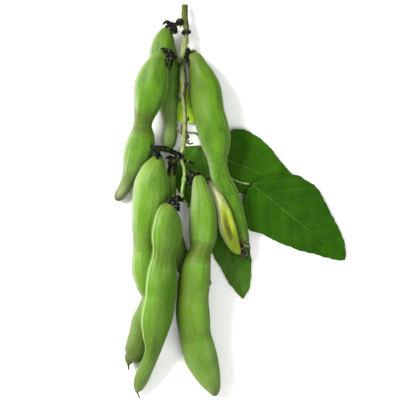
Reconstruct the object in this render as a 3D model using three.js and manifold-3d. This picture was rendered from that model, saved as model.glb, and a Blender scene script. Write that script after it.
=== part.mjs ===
// A cut truss of velvet bean pods with its leaf, lying on a table. All lengths are in millimetres.
// +X runs across the truss, +Y along it towards the cut end of the stem, +Z up from the table top at 0.

import * as THREE from 'three';
import { mergeVertices } from 'three/addons/utils/BufferGeometryUtils.js';
import Module from 'manifold-3d';

const wasm = await Module();
wasm.setup();

// Driving dimensions
const TOUCH_GAP = 0.3; // clearance between two pieces that touch on the plant
const STALK_CLEARANCE = 0.4; // how far a pod's skin is raised to cut its stalk clear of it
const POD_SIDES = 18; // points round a pod
const POD_RINGS = 24; // steps along a pod
const SIDE_CROWDING = 0.25; // how far the points round a pod are drawn towards its two seams
const STYLE_RADIUS = 0.5; // the dry style that stays on a pod's tip
const SLENDER_FLATNESS = 0.92; // thickness over width where a pod is slender
const FLATTENING = 0.028; // how much flatter it grows for each millimetre of half width
const SUTURE_RISE = 0.45; // how far the two seams stand out of a pod
const SUTURE_SPREAD = 0.22; // how wide a seam is, as the sine of an angle round the pod
const SUTURE_FULL_WIDTH = 5; // the half width from which a seam stands out in full
const SETTLE_HEIGHT = 0.45; // skin lower than this has settled flat on the table
const BLADE_THICKNESS = 0.8;
const BLADE_CELLS_ACROSS = 6; // an even number, so that the midrib falls on a line of points
const RIB_DEPTH = 0.3; // how far the midrib stands out below a blade
const STEM_SIDES = 8;
const TWIG_SIDES = 6;
const KNOB_RINGS = 4;
const SEPAL_COUNT = 5;
const SEPAL_SIDES = 4; // faces across each lobe of a husk
const SEPAL_CURL = 0.5; // how far a lobe's tip turns out
const SEPAL_LEAN = 0.85; // how much longer the lobes on the husk's fuller side are than the middling ones
const CUP_RINGS = 8;
const CUP_SHARE = 0.4; // the share of a husk's reach that is closed all round
const CUP_WALL = 0.45; // wall of a husk at its rim, which doubles towards the stalk
const CUP_CLEARANCE = 0.55; // from a pod's skin to the inside of its husk
const WELD_DISTANCE = 0.001; // corners closer than this are one corner
const SMALLEST_DETAIL = 0.02; // faces may move this far to merge slivers that a cut leaves

// Plain colours and finishes of the fresh plant
const skin = new THREE.MeshStandardMaterial({ color: 0x76a532, roughness: 0.75, metalness: 0 });
const shrivelledSkin = new THREE.MeshStandardMaterial({ color: 0xa0aa28, roughness: 0.8, metalness: 0 });
const bark = new THREE.MeshStandardMaterial({ color: 0x96a064, roughness: 0.85, metalness: 0 });
const dryHusk = new THREE.MeshStandardMaterial({ color: 0x23231c, roughness: 0.95, metalness: 0 });
const leafGreen = new THREE.MeshStandardMaterial({ color: 0x2d640f, roughness: 0.6, metalness: 0 });
const youngGreen = new THREE.MeshStandardMaterial({ color: 0x7fa518, roughness: 0.6, metalness: 0 });

// A pod's rows run from its stalk to its tip: x, y, z of the middle and the half width seen from above.
// roll turns the broad side about the pod's length: a positive one lifts the right-hand seam.
const PODS = {
  top_back: {
    roll: 8,
    rows: [
      [-34.2, 97.9, 6.5, 0], [-35.8, 93.7, 6.3, 4.2], [-37, 88.1, 6, 6.4], [-37.2, 81.4, 5.8, 7.6],
      [-35.8, 73.6, 5.5, 7.7], [-34.7, 65.7, 5.2, 6.4], [-34.4, 58.5, 4.8, 5.5], [-34.3, 52.3, 4.5, 4.6],
      [-33.3, 45.6, 4.2, 3.5], [-32.9, 38.9, 4, 3.6], [-34, 32.7, 3.9, 3.4], [-35.3, 27.7, 4, 0],
    ],
  },
  top_left: {
    roll: 15,
    rows: [
      [-35, 83.4, 16.4, 0], [-38.7, 79.2, 15.8, 4.7], [-41.3, 73.6, 15.4, 7.1], [-43.2, 67.4, 14.8, 9],
      [-44.5, 61.3, 13.8, 9.1], [-46, 54.5, 12.3, 7.6], [-47.7, 47.8, 10.8, 5.6], [-48.6, 42.2, 9.6, 5],
      [-49, 36.1, 8.4, 7], [-50.4, 29.9, 7.2, 8.1], [-52.4, 23.7, 5.9, 7.4], [-54.4, 17.6, 4.5, 5.6],
      [-56.8, 12, 3.5, 3.9], [-59.6, 6.8, 2.8, 3.3], [-62.1, 3.1, 2.4, 2.9], [-63.8, 0.4, 2.2, 0],
    ],
  },
  middle_left: {
    roll: 10,
    rows: [
      [-39.5, 25.7, 12.6, 0], [-40.6, 21.5, 12.5, 4.8], [-42.3, 15.9, 12.3, 7.6], [-43.6, 9.2, 11.8, 9.4],
      [-44.2, 1.9, 11, 9.9], [-45.1, -5.4, 10.2, 9.4], [-46.5, -13.2, 9.1, 8.1], [-46.9, -20.5, 8, 7.1],
      [-46.9, -27.2, 7.2, 6.9], [-47, -33.9, 6.6, 7.6], [-47, -40.1, 5.9, 7.4], [-46.5, -46.8, 5.1, 5.7],
      [-45.1, -53.5, 4.5, 4.1], [-46.5, -60.3, 4.3, 4.8], [-48.6, -67, 4.5, 6], [-50.1, -73.7, 4.5, 5.9],
      [-51.8, -80.4, 4.5, 6], [-53.9, -86, 4.1, 5.3], [-56, -88.7, 3.8, 3], [-56.6, -91.1, 3.6, 1.3],
      [-56.7, -92.5, 3.5, 0.6], [-56.6, -94.7, 3.4, 0],
    ],
  },
  front_left: {
    roll: -42,
    rows: [
      [-33.6, -0.9, 19, 0], [-34.3, -4, 19.2, 5], [-34.7, -8.7, 19.2, 7], [-34.8, -14.9, 18.6, 8.5],
      [-35.2, -20.5, 17.6, 8.3], [-36, -26.1, 16.6, 7], [-37, -31.7, 16, 6.6], [-37.6, -38.4, 15.6, 8.1],
      [-37.9, -45.7, 15.2, 8.9], [-38.5, -53, 14.8, 8.7], [-39.7, -60.3, 14.6, 9.1], [-40.8, -67, 14, 8.7],
      [-41.7, -73.7, 12.7, 7.1], [-42.4, -80.4, 10.7, 5], [-44, -86.6, 8.6, 4.1], [-46.4, -92.7, 6.6, 4],
      [-49.3, -99.2, 4.8, 4.1], [-51, -104.5, 3.6, 2.9], [-51.6, -107.6, 3, 0.7], [-50.4, -110.7, 2.7, 0],
    ],
  },
  front_right: {
    roll: 30,
    rows: [
      [-17.6, 15.2, 12.5, 0], [-17.3, 12.2, 12.4, 3.4], [-16.2, 6.4, 12.3, 5], [-15.2, 0.8, 12.2, 6.4],
      [-15, -5.9, 12.1, 7.6], [-14.8, -13.2, 12.1, 7.8], [-15, -20.5, 12.1, 7.4], [-16.1, -26.7, 12.5, 6.2],
      [-17.7, -32.8, 12.9, 7.2], [-18.9, -39, 12.9, 8.4], [-19.9, -45.7, 12.3, 8.9], [-20.6, -53, 11.5, 8.8],
      [-20.8, -60.3, 10.6, 9.4], [-20.3, -67, 9.8, 9.4], [-19.3, -74.3, 8.9, 8.8], [-17.6, -81.5, 8, 9.2],
      [-15.7, -88.3, 7.1, 9.1], [-13.4, -94.4, 6.2, 8], [-11.2, -100, 5.3, 6.3], [-9.2, -105.1, 4.3, 4.1],
      [-8.1, -109.5, 3.6, 0],
    ],
  },
  right: {
    roll: 28,
    rows: [
      [-20.4, 83.9, 9, 0], [-19.6, 80.3, 9, 4.2], [-17.8, 75.3, 9, 5.4], [-15.5, 69.7, 9, 7.1],
      [-13.7, 63.5, 9, 8.5], [-12.8, 56.8, 9, 8.9], [-11.6, 49.5, 9.1, 8.7], [-9.6, 42.2, 9.3, 8.9],
      [-8.1, 35.5, 9.4, 8.7], [-7.4, 29.3, 9.3, 7.3], [-6.9, 23.2, 9, 5.4], [-6, 17, 8.6, 5],
      [-4.5, 11.4, 8.1, 5.5], [-1.4, 5.8, 7.6, 5.5], [1.4, -0.3, 7, 5.3], [3.4, -7.1, 6.4, 4.8],
      [5.6, -13.8, 5.8, 4.3], [7.6, -20.5, 5.1, 3.4], [8.5, -26.7, 4.6, 2.7], [8.4, -33.1, 4.3, 0],
    ],
  },
  young: {
    roll: 0,
    flatness: 0.45,
    rows: [
      [-12.3, 12, 7.9, 0], [-10.4, 9.5, 9.2, 1.4], [-8, 5.8, 11.3, 2.1], [-5.8, 1.3, 12.4, 2.6],
      [-4, -3.1, 12.6, 3.1], [-2.7, -7.6, 12.3, 3.7], [-1.7, -12.7, 11.6, 4.2], [-0.4, -17.1, 10.8, 4.3],
      [1.2, -21.6, 9.9, 3.6], [3.2, -25.8, 8.9, 2.7], [5.9, -29.5, 8, 0],
    ],
  },
  back: {
    roll: 0,
    flatness: 0.65,
    rows: [
      [-32, 23, 6.6, 0], [-32.6, 18.6, 6.2, 2.2], [-33, 13.6, 5.6, 2.8], [-33.4, 8.2, 4.9, 3.2],
      [-33.7, 1.9, 4.1, 3.8], [-33.4, -5.9, 3.7, 3.9], [-32.3, -13.8, 3.7, 4.2], [-30.9, -21.1, 3.8, 4.7],
      [-28.9, -28.6, 3.5, 5.1], [-25.4, -35.8, 2.9, 5], [-20.6, -40.8, 2.4, 4.3], [-15.6, -44, 2.2, 3.5],
      [-12.2, -46, 2.1, 2.4], [-10.7, -47.3, 2.1, 0],
    ],
  },
};

// The stem's rows run from its cut end down: x, y, z of the middle and the radius.
const STEM_ROWS = [
  [-24.9, 110.5, 3.2, 1.8], [-25.2, 106.1, 3.8, 1.8], [-24.9, 101.6, 4.6, 1.8], [-24.2, 97.1, 5.4, 1.6],
  [-24.3, 92.1, 6.2, 1.4], [-25.2, 87, 7.2, 1.8], [-26, 81.4, 8, 2], [-26.3, 76.4, 8.6, 2.1],
  [-26, 70.8, 9, 2.1], [-26, 63.5, 9.4, 2], [-26, 57.9, 9.6, 1.7], [-25.2, 52.3, 9.8, 1.2],
  [-24.9, 46.1, 10, 1.3], [-25, 40.5, 10.2, 1.4], [-25.3, 34.9, 10.4, 1.5], [-26, 29.9, 10.6, 1.3],
  [-26.6, 24.9, 10.8, 1.6], [-25.8, 20.4, 10.9, 0.9], [-25.3, 16.5, 11, 0.9], [-25.5, 12, 11.2, 1.1],
  [-26.2, 6.9, 11.6, 0.9], [-26.5, 1.3, 12, 1.1],
];

// Scars and swellings where flowers have dropped: x, y, z and radius.
const STEM_KNOBS = [
  [-25.6, 94.7, 5.8, 1.3], [-22.9, 95, 6, 1.3], [-24.2, 65.7, 9.8, 1.1], [-27.7, 57.3, 9.9, 1.3],
  [-23.4, 46.1, 10.4, 1.2], [-23.6, 36.2, 10.6, 1.3], [-23.3, 33.8, 10.2, 0.9], [-24.8, 12.4, 11.3, 1.4],
];

// Bare twigs left on the stem: rows of x, y, z and radius.
const STEM_TWIGS = [
  [[-25.4, 22.8, 10.8, 0.8], [-22.4, 22.2, 10.6, 0.8], [-19.9, 20.7, 10.4, 0.6]],
  [[-25, 33.6, 10.2, 0.6], [-22.4, 32.2, 8.6, 0.5], [-20.4, 32.6, 7.2, 0.45]],
  [[-26.4, 36.1, 10.2, 0.6], [-28.2, 38.6, 8.4, 0.5], [-29.4, 41.4, 7.4, 0.4]],
  [[-26.2, 35.2, 10, 0.6], [-26.9, 39, 6.8, 0.5], [-26.6, 43.4, 3.7, 0.45]],
  [[-26.4, 1.2, 12, 1], [-24.7, -0.7, 12.2, 0.9], [-23.4, -2.2, 12.2, 0.7]],
];

// Each pod hangs by a short stalk from the stem into a dry husk: the rows of the stalk and of the dry shreds
// that curl away from it, the middling sepals' length as a share of the pod's, the turn of the first sepal
// round the pod, and the angle round the pod of the husk's fuller side, both in degrees. 0 is the right-hand
// side and 90 the top.
const HUSKS = {
  top_back: {
    stalk: [
      [-26, 100.8, 4.8, 1.1], [-27.9, 100.5, 5, 2.3], [-30.3, 99.2, 5.6, 1], [-32.6, 98.9, 6.6, 1.8],
      [-34.2, 98.6, 6.6, 1.7],
    ],
    shreds: [
      [[-33.2, 99.6, 7, 1.7], [-32.3, 97.8, 8, 2.3], [-31.1, 95.6, 8.6, 2.2], [-30.7, 93.9, 8.8, 1.1]],
      [[-33.4, 99.3, 7, 1.5], [-35.4, 100.6, 7.8, 1], [-37.7, 99.1, 7.4, 0.35]],
    ],
    reach: 0.02,
    turn: 10,
    fuller: 10,
  },
  top_left: {
    stalk: [
      [-26.6, 77.4, 9.6, 1.3], [-29.4, 79.6, 12.8, 1.2], [-32.4, 82.2, 15.4, 1.3], [-34.6, 83.6, 16.3, 1.6],
    ],
    shreds: [
      [[-34.4, 83.8, 17, 1.2], [-36.4, 84.8, 17.4, 0.8], [-38.6, 84.8, 17, 0.35]],
      [[-34, 82.8, 17, 1.2], [-33.9, 80, 18.2, 1], [-34.8, 77, 18.8, 0.6], [-34.4, 74.4, 18.6, 0.3]],
      [[-33, 82.2, 16.2, 1], [-32.2, 78.6, 16.2, 0.7], [-32.8, 75.2, 15.4, 0.45], [-33.3, 72.6, 15, 0.3]],
    ],
    reach: 0.02,
    turn: -20,
    fuller: 0,
  },
  middle_left: {
    stalk: [
      [-27.4, 25.4, 11.6, 1.3], [-32, 27.6, 12.2, 1.4], [-36.8, 29.3, 12.9, 1.7], [-40.2, 29.1, 13, 1.9],
      [-40, 27, 12.7, 1.8],
    ],
    shreds: [
      [[-39.8, 29.2, 13.2, 1.6], [-41.8, 30, 13.6, 1.4], [-43.8, 29.2, 13.4, 0.7]],
      [[-39.8, 27.8, 14, 1.1], [-40.3, 25.6, 15.2, 0.8], [-40.6, 23.6, 16.1, 0.35]],
    ],
    reach: 0.006,
    turn: 40,
    fuller: 100,
  },
  front_left: {
    stalk: [
      [-26.9, 0.9, 12.6, 1.1], [-28.7, 1.4, 14.8, 1.3], [-31.2, 0.9, 17.2, 1.5], [-33.3, -0.3, 18.4, 1.7],
    ],
    shreds: [
      [
        [-30.8, 0.8, 17.2, 1.4], [-29.6, -1.6, 17.4, 1.7], [-28.7, -3.8, 16.8, 1.2],
        [-28.4, -5.4, 16.2, 0.5],
      ],
      [[-30.4, 1, 17.4, 1.1], [-29, 2.6, 18, 0.8], [-27.2, 2.8, 17.8, 0.35]],
    ],
    reach: 0.015,
    turn: 10,
    fuller: 5,
  },
  front_right: {
    stalk: [
      [-24.6, 12.6, 11.4, 1.1], [-22.6, 13.3, 11.9, 1.3], [-20.4, 14.7, 12.1, 1.4],
      [-18.2, 15.5, 12.1, 1.2],
    ],
    shreds: [
      [[-21.2, 14.2, 12.8, 1.1], [-21.8, 12, 13.4, 0.8], [-21.5, 9.6, 13.2, 0.35]],
      [[-20.2, 15, 12.8, 1.1], [-21.6, 16.4, 13.3, 0.7], [-22.4, 17.6, 13, 0.3]],
    ],
    reach: 0.006,
    turn: 30,
    fuller: 180,
  },
  right: {
    stalk: [[-24.6, 78.6, 8.8, 1.5], [-24, 81, 9.2, 1.7], [-23.4, 83.2, 9, 1.3], [-21.8, 84.3, 8.6, 1.2]],
    shreds: [
      [[-23.6, 82.4, 9.8, 1.1], [-23.2, 84.6, 10.3, 0.8], [-22.9, 86, 10.2, 0.35]],
      [[-23.8, 80.8, 9.8, 1.1], [-22.6, 78, 10.8, 0.8], [-22.7, 75.2, 10.4, 0.4]],
    ],
    reach: 0.006,
    turn: 55,
    fuller: 180,
  },
  young: {
    stalk: [
      [-24.9, 10, 10.6, 0.9], [-22.4, 9.8, 8, 0.8], [-18, 10.4, 6.2, 0.8], [-14.6, 11.8, 6.1, 0.9],
      [-12.6, 12.2, 7.4, 1],
    ],
    shreds: [],
    reach: 0.05,
    turn: 0,
    fuller: 150,
  },
  back: {
    stalk: [[-27.4, 22.6, 9.6, 1.1], [-29.4, 23.6, 8.2, 1.1], [-31.6, 23.6, 6.9, 1.4]],
    shreds: [
      [[-31.2, 23.6, 7.8, 1.3], [-33.4, 24.6, 9.2, 1.2], [-35.4, 24.2, 10, 0.6]],
      [[-32, 22.8, 8, 1.2], [-33.2, 19.8, 8.9, 1], [-33.7, 16.6, 8.7, 0.6], [-33.5, 14.2, 8.4, 0.3]],
      [[-31, 22.8, 7.8, 1.1], [-30.3, 19.8, 8.6, 0.9], [-30.5, 16.8, 8.2, 0.6], [-30.8, 14.4, 7.8, 0.3]],
    ],
    reach: 0.03,
    turn: 25,
    fuller: 70,
  },
};

// The leaf's stalk from the stem to the fork of its three leaflets, and its branches.
const LEAF_STALK = [
  [-23.4, 38.4, 10, 0.8], [-21.4, 38.4, 8, 0.65], [-19, 38.2, 4.9, 0.6], [-16.8, 36.6, 2.7, 0.6],
  [-13.4, 32, 2, 0.6], [-10, 27.6, 1.95, 0.6],
];
const LEAF_STALK_BRANCHES = [
  [[-10, 27.6, 1.95, 0.6], [-8.8, 26.8, 1.95, 0.6], [-7.5, 26.1, 1.9, 0.5]],
  [[-10, 27.6, 1.95, 0.6], [-12.8, 28.9, 1.95, 0.6], [-15.8, 29.5, 1.95, 0.5]],
  [
    [-10, 27.6, 1.95, 0.6], [-9.2, 25, 3, 0.6], [-7, 21, 3.4, 0.6],
    [-0.4, 14, 3.5, 0.55], [6, 10.8, 3.4, 0.55], [11.6, 9.6, 3.7, 0.5],
  ],
];

// A blade's edges are points measured from its base: how far along the straight midrib, how far out.
// lift gives the height of its underside from along and out, both as shares of the length.
const LEAFLETS = {
  leaflet_upper: {
    base: [-6.6, 25.8],
    tip: [42.8, 4.7],
    left: [
      [0, 0], [0.6, 8], [1.6, 16], [6, 18.6], [12.3, 19.1],
      [20.7, 17.5], [29.7, 13.3], [37.5, 9.2], [46, 4.6], [54, 0],
    ],
    right: [
      [0, 0], [0.8, 5], [2.6, 10], [8, 13.4], [15, 14.4],
      [22, 14.4], [31, 12.3], [39, 9], [47.6, 4.5], [54, 0],
    ],
    lift: (along, out) => {
      const droop = 2 * Math.max(0, Math.min(along, 0.8) - 0.3);
      return 1.7 - droop + 1.2 * Math.sin(9 * along) * out * out;
    },
    material: leafGreen,
  },
  leaflet_tip: {
    base: [12.6, 9.6],
    tip: [65.2, -32.9],
    left: [
      [0, 0], [0.8, 4.3], [5, 9.9], [11.2, 16.2], [16.8, 20.2], [24, 21.2], [31, 21.4],
      [37, 18.8], [44.8, 15.4], [53.2, 11.8], [60.5, 7.7], [65.2, 3.9], [67.6, 0],
    ],
    right: [
      [0, 0], [0.2, 4], [1.2, 9], [4.4, 14], [10, 18.5], [15, 20.7],
      [23, 17.9], [33, 15.9], [43, 12.5], [53.8, 7.8], [61, 4.5], [65.4, 2.3], [67.6, 0],
    ],
    lift: (along, out) => 3.3 - 3 * along + 4.4 * Math.sin(7 * along + 1) * out * out + 0.6 * Math.abs(out),
    material: leafGreen,
  },
  leaflet_lower: {
    base: [-16.5, 29.3],
    tip: [7.6, -54.9],
    left: [
      [0, 0], [-0.6, 5], [4.4, 9.8], [12, 11.8], [20, 12], [28, 11.6],
      [36, 11.8], [46, 12.6], [57, 12.2], [67, 10.8], [78, 7.4], [83.6, 4.6], [87.8, 0],
    ],
    right: [
      [0, 0], [-4, 8], [0.4, 13.8], [7.5, 17], [15.1, 18.6], [24, 17.2],
      [33, 14.2], [43.3, 12.4], [57.3, 9.6], [67.3, 7.4], [78.4, 4.4], [83.6, 2.4], [87.8, 0],
    ],
    lift: (along, out) => {
      const fold = 4 * Math.max(0, along - 0.45) * Math.abs(out);
      return 0.2 + fold + 1.2 * Math.max(0, -out - 0.05);
    },
    material: leafGreen,
  },
  young_leaf: {
    base: [-26, 44.7],
    tip: [-23.8, 65.7],
    left: [[0, 0], [-0.1, 3], [2.1, 3.6], [6, 3.8], [9.4, 3.6], [13, 2.4], [17.6, 1], [21.1, 0]],
    right: [[0, 0], [0, 5.6], [2.5, 6.3], [6, 5.4], [9.8, 4], [13.4, 2.8], [17.6, 1.4], [21.1, 0]],
    lift: (along, out) => 2.4 - 0.8 * along + 1.2 * Math.abs(out) - 4.4 * Math.max(0, out),
    material: youngGreen,
  },
};

function radians(degrees) {
  return (degrees * Math.PI) / 180;
}

// The line through the rows' middles
function middleLine(rows) {
  const points = rows.map(([x, y, z]) => new THREE.Vector3(x, y, z));
  return new THREE.CatmullRomCurve3(points, false, 'catmullrom', 0.5);
}

// The squares of the rows' half widths, which give a round end where a half width falls to 0
function girthLine(rows) {
  const squares = rows.map((row) => new THREE.Vector3(row[3] * row[3], 0, 0));
  return new THREE.CatmullRomCurve3(squares, false, 'catmullrom', 0.5);
}

// The middle of a section, the direction along, and the section's level side and its top
function sectionAt(line, t) {
  const centre = line.getPoint(t);
  const along = line.getTangent(t);
  const side = new THREE.Vector3(0, 0, 1).cross(along).normalize();
  const top = along.clone().cross(side);
  return { centre, along, side, top };
}

// A point of a pod's skin, at t along it and an angle round it, raised by lift
function podPoint(pod, t, angle, lift) {
  const { centre, along, side, top } = sectionAt(pod.line, t);
  if (t === 0 || t === 1) {
    return centre.addScaledVector(along, t === 0 ? -lift : lift);
  }
  const seen = Math.sqrt(Math.max(pod.girth.getPoint(t).x, STYLE_RADIUS ** 2));
  const flatness = pod.flatness ?? SLENDER_FLATNESS - FLATTENING * seen;
  const roll = radians(pod.roll);
  const broad = seen / Math.hypot(Math.cos(roll), flatness * Math.sin(roll));
  const fullness = Math.min(1, seen / SUTURE_FULL_WIDTH);
  const seam = SUTURE_RISE * fullness * Math.exp(-((Math.sin(angle) / SUTURE_SPREAD) ** 2));
  const across = Math.cos(angle) * (broad + seam + lift);
  const up = Math.sin(angle) * (broad * flatness + lift);
  return centre
    .addScaledVector(side, across * Math.cos(roll) - up * Math.sin(roll))
    .addScaledVector(top, across * Math.sin(roll) + up * Math.cos(roll));
}

// A sphere bent along a pod, with its points gathered towards both ends and both seams
function podGeometry(pod, lift) {
  const geometry = new THREE.SphereGeometry(1, POD_SIDES, POD_RINGS);
  const positions = geometry.attributes.position;
  for (let i = 0; i < positions.count; i += 1) {
    const down = Math.acos(THREE.MathUtils.clamp(positions.getY(i), -1, 1)) / Math.PI;
    const t = down / 2 + (1 - Math.cos(Math.PI * down)) / 4;
    const around = Math.atan2(positions.getZ(i), positions.getX(i));
    const angle = around - SIDE_CROWDING * Math.sin(2 * around);
    const point = podPoint(pod, t, angle, lift);
    if (lift === 0 && point.z < SETTLE_HEIGHT) {
      point.z = 0;
    }
    positions.setXYZ(i, point.x, point.y, point.z);
  }
  return geometry;
}

// A capped cylinder bent along rows of x, y, z and radius, each radius grown by extra
function twigGeometry(rows, sides, stepsPerRow, extra) {
  const steps = (rows.length - 1) * stepsPerRow;
  const geometry = new THREE.CylinderGeometry(1, 1, 1, sides, steps);
  const line = middleLine(rows);
  const girth = girthLine(rows);
  const positions = geometry.attributes.position;
  for (let i = 0; i < positions.count; i += 1) {
    const t = THREE.MathUtils.clamp(0.5 - positions.getY(i), 0, 1);
    const { centre, along, side, top } = sectionAt(line, t);
    const radius = Math.sqrt(girth.getPoint(t).x) + extra;
    centre.addScaledVector(side, positions.getX(i) * radius).addScaledVector(top, positions.getZ(i) * radius);
    if (t === 0 || t === 1) {
      centre.addScaledVector(along, t === 0 ? -extra : extra);
    }
    positions.setXYZ(i, centre.x, centre.y, centre.z);
  }
  return geometry;
}

function knobGeometry([x, y, z, radius], extra) {
  return new THREE.SphereGeometry(radius + extra, TWIG_SIDES, KNOB_RINGS).translate(x, y, z);
}

function toSolid(geometry) {
  const bare = geometry.clone();
  bare.deleteAttribute('normal');
  bare.deleteAttribute('uv');
  const merged = mergeVertices(bare, WELD_DISTANCE);
  const mesh = new wasm.Mesh({
    numProp: 3,
    vertProperties: Float32Array.from(merged.attributes.position.array),
    triVerts: Uint32Array.from(merged.index.array),
  });
  return new wasm.Manifold(mesh);
}

// The triangles of each closed shell of a mesh: those that meet along their edges
function shellsOf({ triVerts }) {
  const leaders = Array.from({ length: triVerts.length / 3 }, (_, triangle) => triangle);
  const leaderOf = (triangle) => {
    let leader = triangle;
    while (leaders[leader] !== leader) {
      leader = leaders[leader];
    }
    return leader;
  };
  const firstAtEdge = new Map();
  for (let corner = 0; corner < triVerts.length; corner += 1) {
    const triangle = Math.floor(corner / 3);
    const next = corner % 3 === 2 ? corner - 2 : corner + 1;
    const edge = [triVerts[corner], triVerts[next]].sort((a, b) => a - b).join();
    if (firstAtEdge.has(edge)) {
      leaders[leaderOf(triangle)] = leaderOf(firstAtEdge.get(edge));
    }
    firstAtEdge.set(edge, triangle);
  }
  const shells = new Map();
  for (let triangle = 0; triangle < leaders.length; triangle += 1) {
    const leader = leaderOf(triangle);
    const corners = shells.get(leader) ?? [];
    corners.push(...triVerts.subarray(3 * triangle, 3 * triangle + 3));
    shells.set(leader, corners);
  }
  return [...shells.values()];
}

function geometryOf(vertices, triangles) {
  const geometry = new THREE.BufferGeometry();
  geometry.setAttribute('position', new THREE.BufferAttribute(vertices, 3));
  geometry.setIndex(Array.from(triangles));
  return geometry;
}

// The largest shell of a solid as a geometry: loose scraps are dropped and sealed hollows are filled
function toGeometry(solid) {
  const raw = solid.simplify(SMALLEST_DETAIL).getMesh();
  const mesh = toSolid(geometryOf(raw.vertProperties, raw.triVerts)).getMesh();
  const largest = shellsOf(mesh).sort((a, b) => b.length - a.length)[0];
  const geometry = geometryOf(mesh.vertProperties, largest);
  geometry.computeVertexNormals();
  return geometry;
}

function joined(solids) {
  return solids.reduce((sum, solid) => sum.add(solid));
}

function stemSolid(extra) {
  return joined([
    toSolid(twigGeometry(STEM_ROWS, STEM_SIDES, 1, extra)),
    ...STEM_KNOBS.map((knob) => toSolid(knobGeometry(knob, extra))),
    ...STEM_TWIGS.map((rows) => toSolid(twigGeometry(rows, TWIG_SIDES, 1, extra))),
  ]);
}

// A dry cup over the pod's top end, open below, with a pointed lobe for each of its sepals.
// The upper half of a sphere makes its outside, the lower half folds in to make its inside.
function cupGeometry(pod, { reach, turn, fuller }) {
  const geometry = new THREE.SphereGeometry(1, SEPAL_COUNT * SEPAL_SIDES, CUP_RINGS);
  const positions = geometry.attributes.position;
  for (let i = 0; i < positions.count; i += 1) {
    const down = Math.acos(THREE.MathUtils.clamp(positions.getY(i), -1, 1)) / Math.PI;
    const around = Math.atan2(positions.getZ(i), positions.getX(i));
    const share = down < 0.5 ? 2 * down : 2 * (1 - down);
    const lobe = Math.abs(Math.sin((SEPAL_COUNT * around) / 2));
    const unevenness = 1 + SEPAL_LEAN * Math.cos(around + radians(turn - fuller));
    const t = reach * share * unevenness * (CUP_SHARE + (1 - CUP_SHARE) * lobe);
    const wall = down < 0.5 ? CUP_WALL * (2 - share) : 0;
    const curl = SEPAL_CURL * lobe * unevenness * share ** 3;
    const point = podPoint(pod, t, around + radians(turn), CUP_CLEARANCE + wall + curl);
    positions.setXYZ(i, point.x, point.y, point.z);
  }
  return geometry;
}

// A pod's stalk, cup and shreds in one, cut clear of the pods and the stem
function huskSolid(name, neighbours) {
  const { stalk, shreds } = HUSKS[name];
  const twigs = [stalk, ...shreds].map((rows) => toSolid(twigGeometry(rows, TWIG_SIDES, 1, 0)));
  const cup = toSolid(cupGeometry(PODS[name], HUSKS[name]));
  return neighbours.reduce((husk, neighbour) => husk.subtract(neighbour), joined([cup, ...twigs]));
}

// A leaf blade: a grid between its two edges, with the same triangles above and below
function bladeGeometry({ base, tip, left, right, lift }) {
  const start = new THREE.Vector2(...base);
  const midrib = new THREE.Vector2(...tip).sub(start);
  const length = midrib.length();
  const ahead = midrib.divideScalar(length);
  const leftward = new THREE.Vector2(-ahead.y, ahead.x);
  const edge = (points) => new THREE.SplineCurve(points.map(([along, out]) => new THREE.Vector2(along, out)));
  const leftEdge = edge(left);
  const rightEdge = edge(right);
  const rows = 2 * Math.max(left.length, right.length) - 4;
  const columns = BLADE_CELLS_ACROSS;
  const points = [];
  const indexOf = (row, column, below) => {
    const only = row === 0 || row === rows ? 0 : column;
    return ((row * (columns + 1) + only) * 2) + (below ? 1 : 0);
  };
  for (let row = 0; row <= rows; row += 1) {
    const t = (1 - Math.cos((Math.PI * row) / rows)) / 4 + row / rows / 2;
    const leftPoint = leftEdge.getPoint(t);
    const rightPoint = rightEdge.getPoint(t);
    const middle = (leftPoint.x + rightPoint.x) / 2;
    for (let column = 0; column <= columns; column += 1) {
      const share = (2 * column) / columns - 1;
      const edgePoint = share < 0 ? leftPoint : rightPoint;
      const along = middle + (edgePoint.x - middle) * Math.abs(share);
      const out = edgePoint.y * share;
      const x = start.x + ahead.x * along - leftward.x * out;
      const y = start.y + ahead.y * along - leftward.y * out;
      const z = lift(along / length, out / length);
      const rib = share === 0 ? RIB_DEPTH * (1 - along / length) : 0;
      points.push(x, y, z + BLADE_THICKNESS, x, y, Math.max(0, z - rib));
    }
  }
  const triangles = [];
  const add = (a, b, c) => {
    if (a !== b && b !== c && c !== a) {
      triangles.push(a, c, b);
    }
  };
  for (let row = 0; row < rows; row += 1) {
    for (let column = 0; column < columns; column += 1) {
      for (const below of [false, true]) {
        const a = indexOf(row, column, below);
        const b = indexOf(row + 1, column, below);
        const c = indexOf(row + 1, column + 1, below);
        const d = indexOf(row, column + 1, below);
        const [second, third] = below ? [d, c] : [b, c];
        add(a, second, third);
        const [fourth, fifth] = below ? [c, b] : [c, d];
        add(a, fourth, fifth);
      }
    }
    for (const column of [0, columns]) {
      const a = indexOf(row, column, false);
      const b = indexOf(row + 1, column, false);
      const c = indexOf(row + 1, column, true);
      const d = indexOf(row, column, true);
      const outer = column === 0;
      add(a, outer ? c : b, outer ? b : c);
      add(a, outer ? d : c, outer ? c : d);
    }
  }
  const geometry = new THREE.BufferGeometry();
  geometry.setAttribute('position', new THREE.Float32BufferAttribute(points, 3));
  geometry.setIndex(triangles);
  return geometry;
}

const truss = new THREE.Group();

function place(name, solid, material) {
  const mesh = new THREE.Mesh(toGeometry(solid), material);
  mesh.name = name;
  truss.add(mesh);
}

for (const pod of Object.values(PODS)) {
  pod.line = middleLine(pod.rows);
  pod.girth = girthLine(pod.rows);
}

const grownStem = stemSolid(TOUCH_GAP);
const grownPods = Object.values(PODS).map((pod) => toSolid(podGeometry(pod, STALK_CLEARANCE)));

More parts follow.
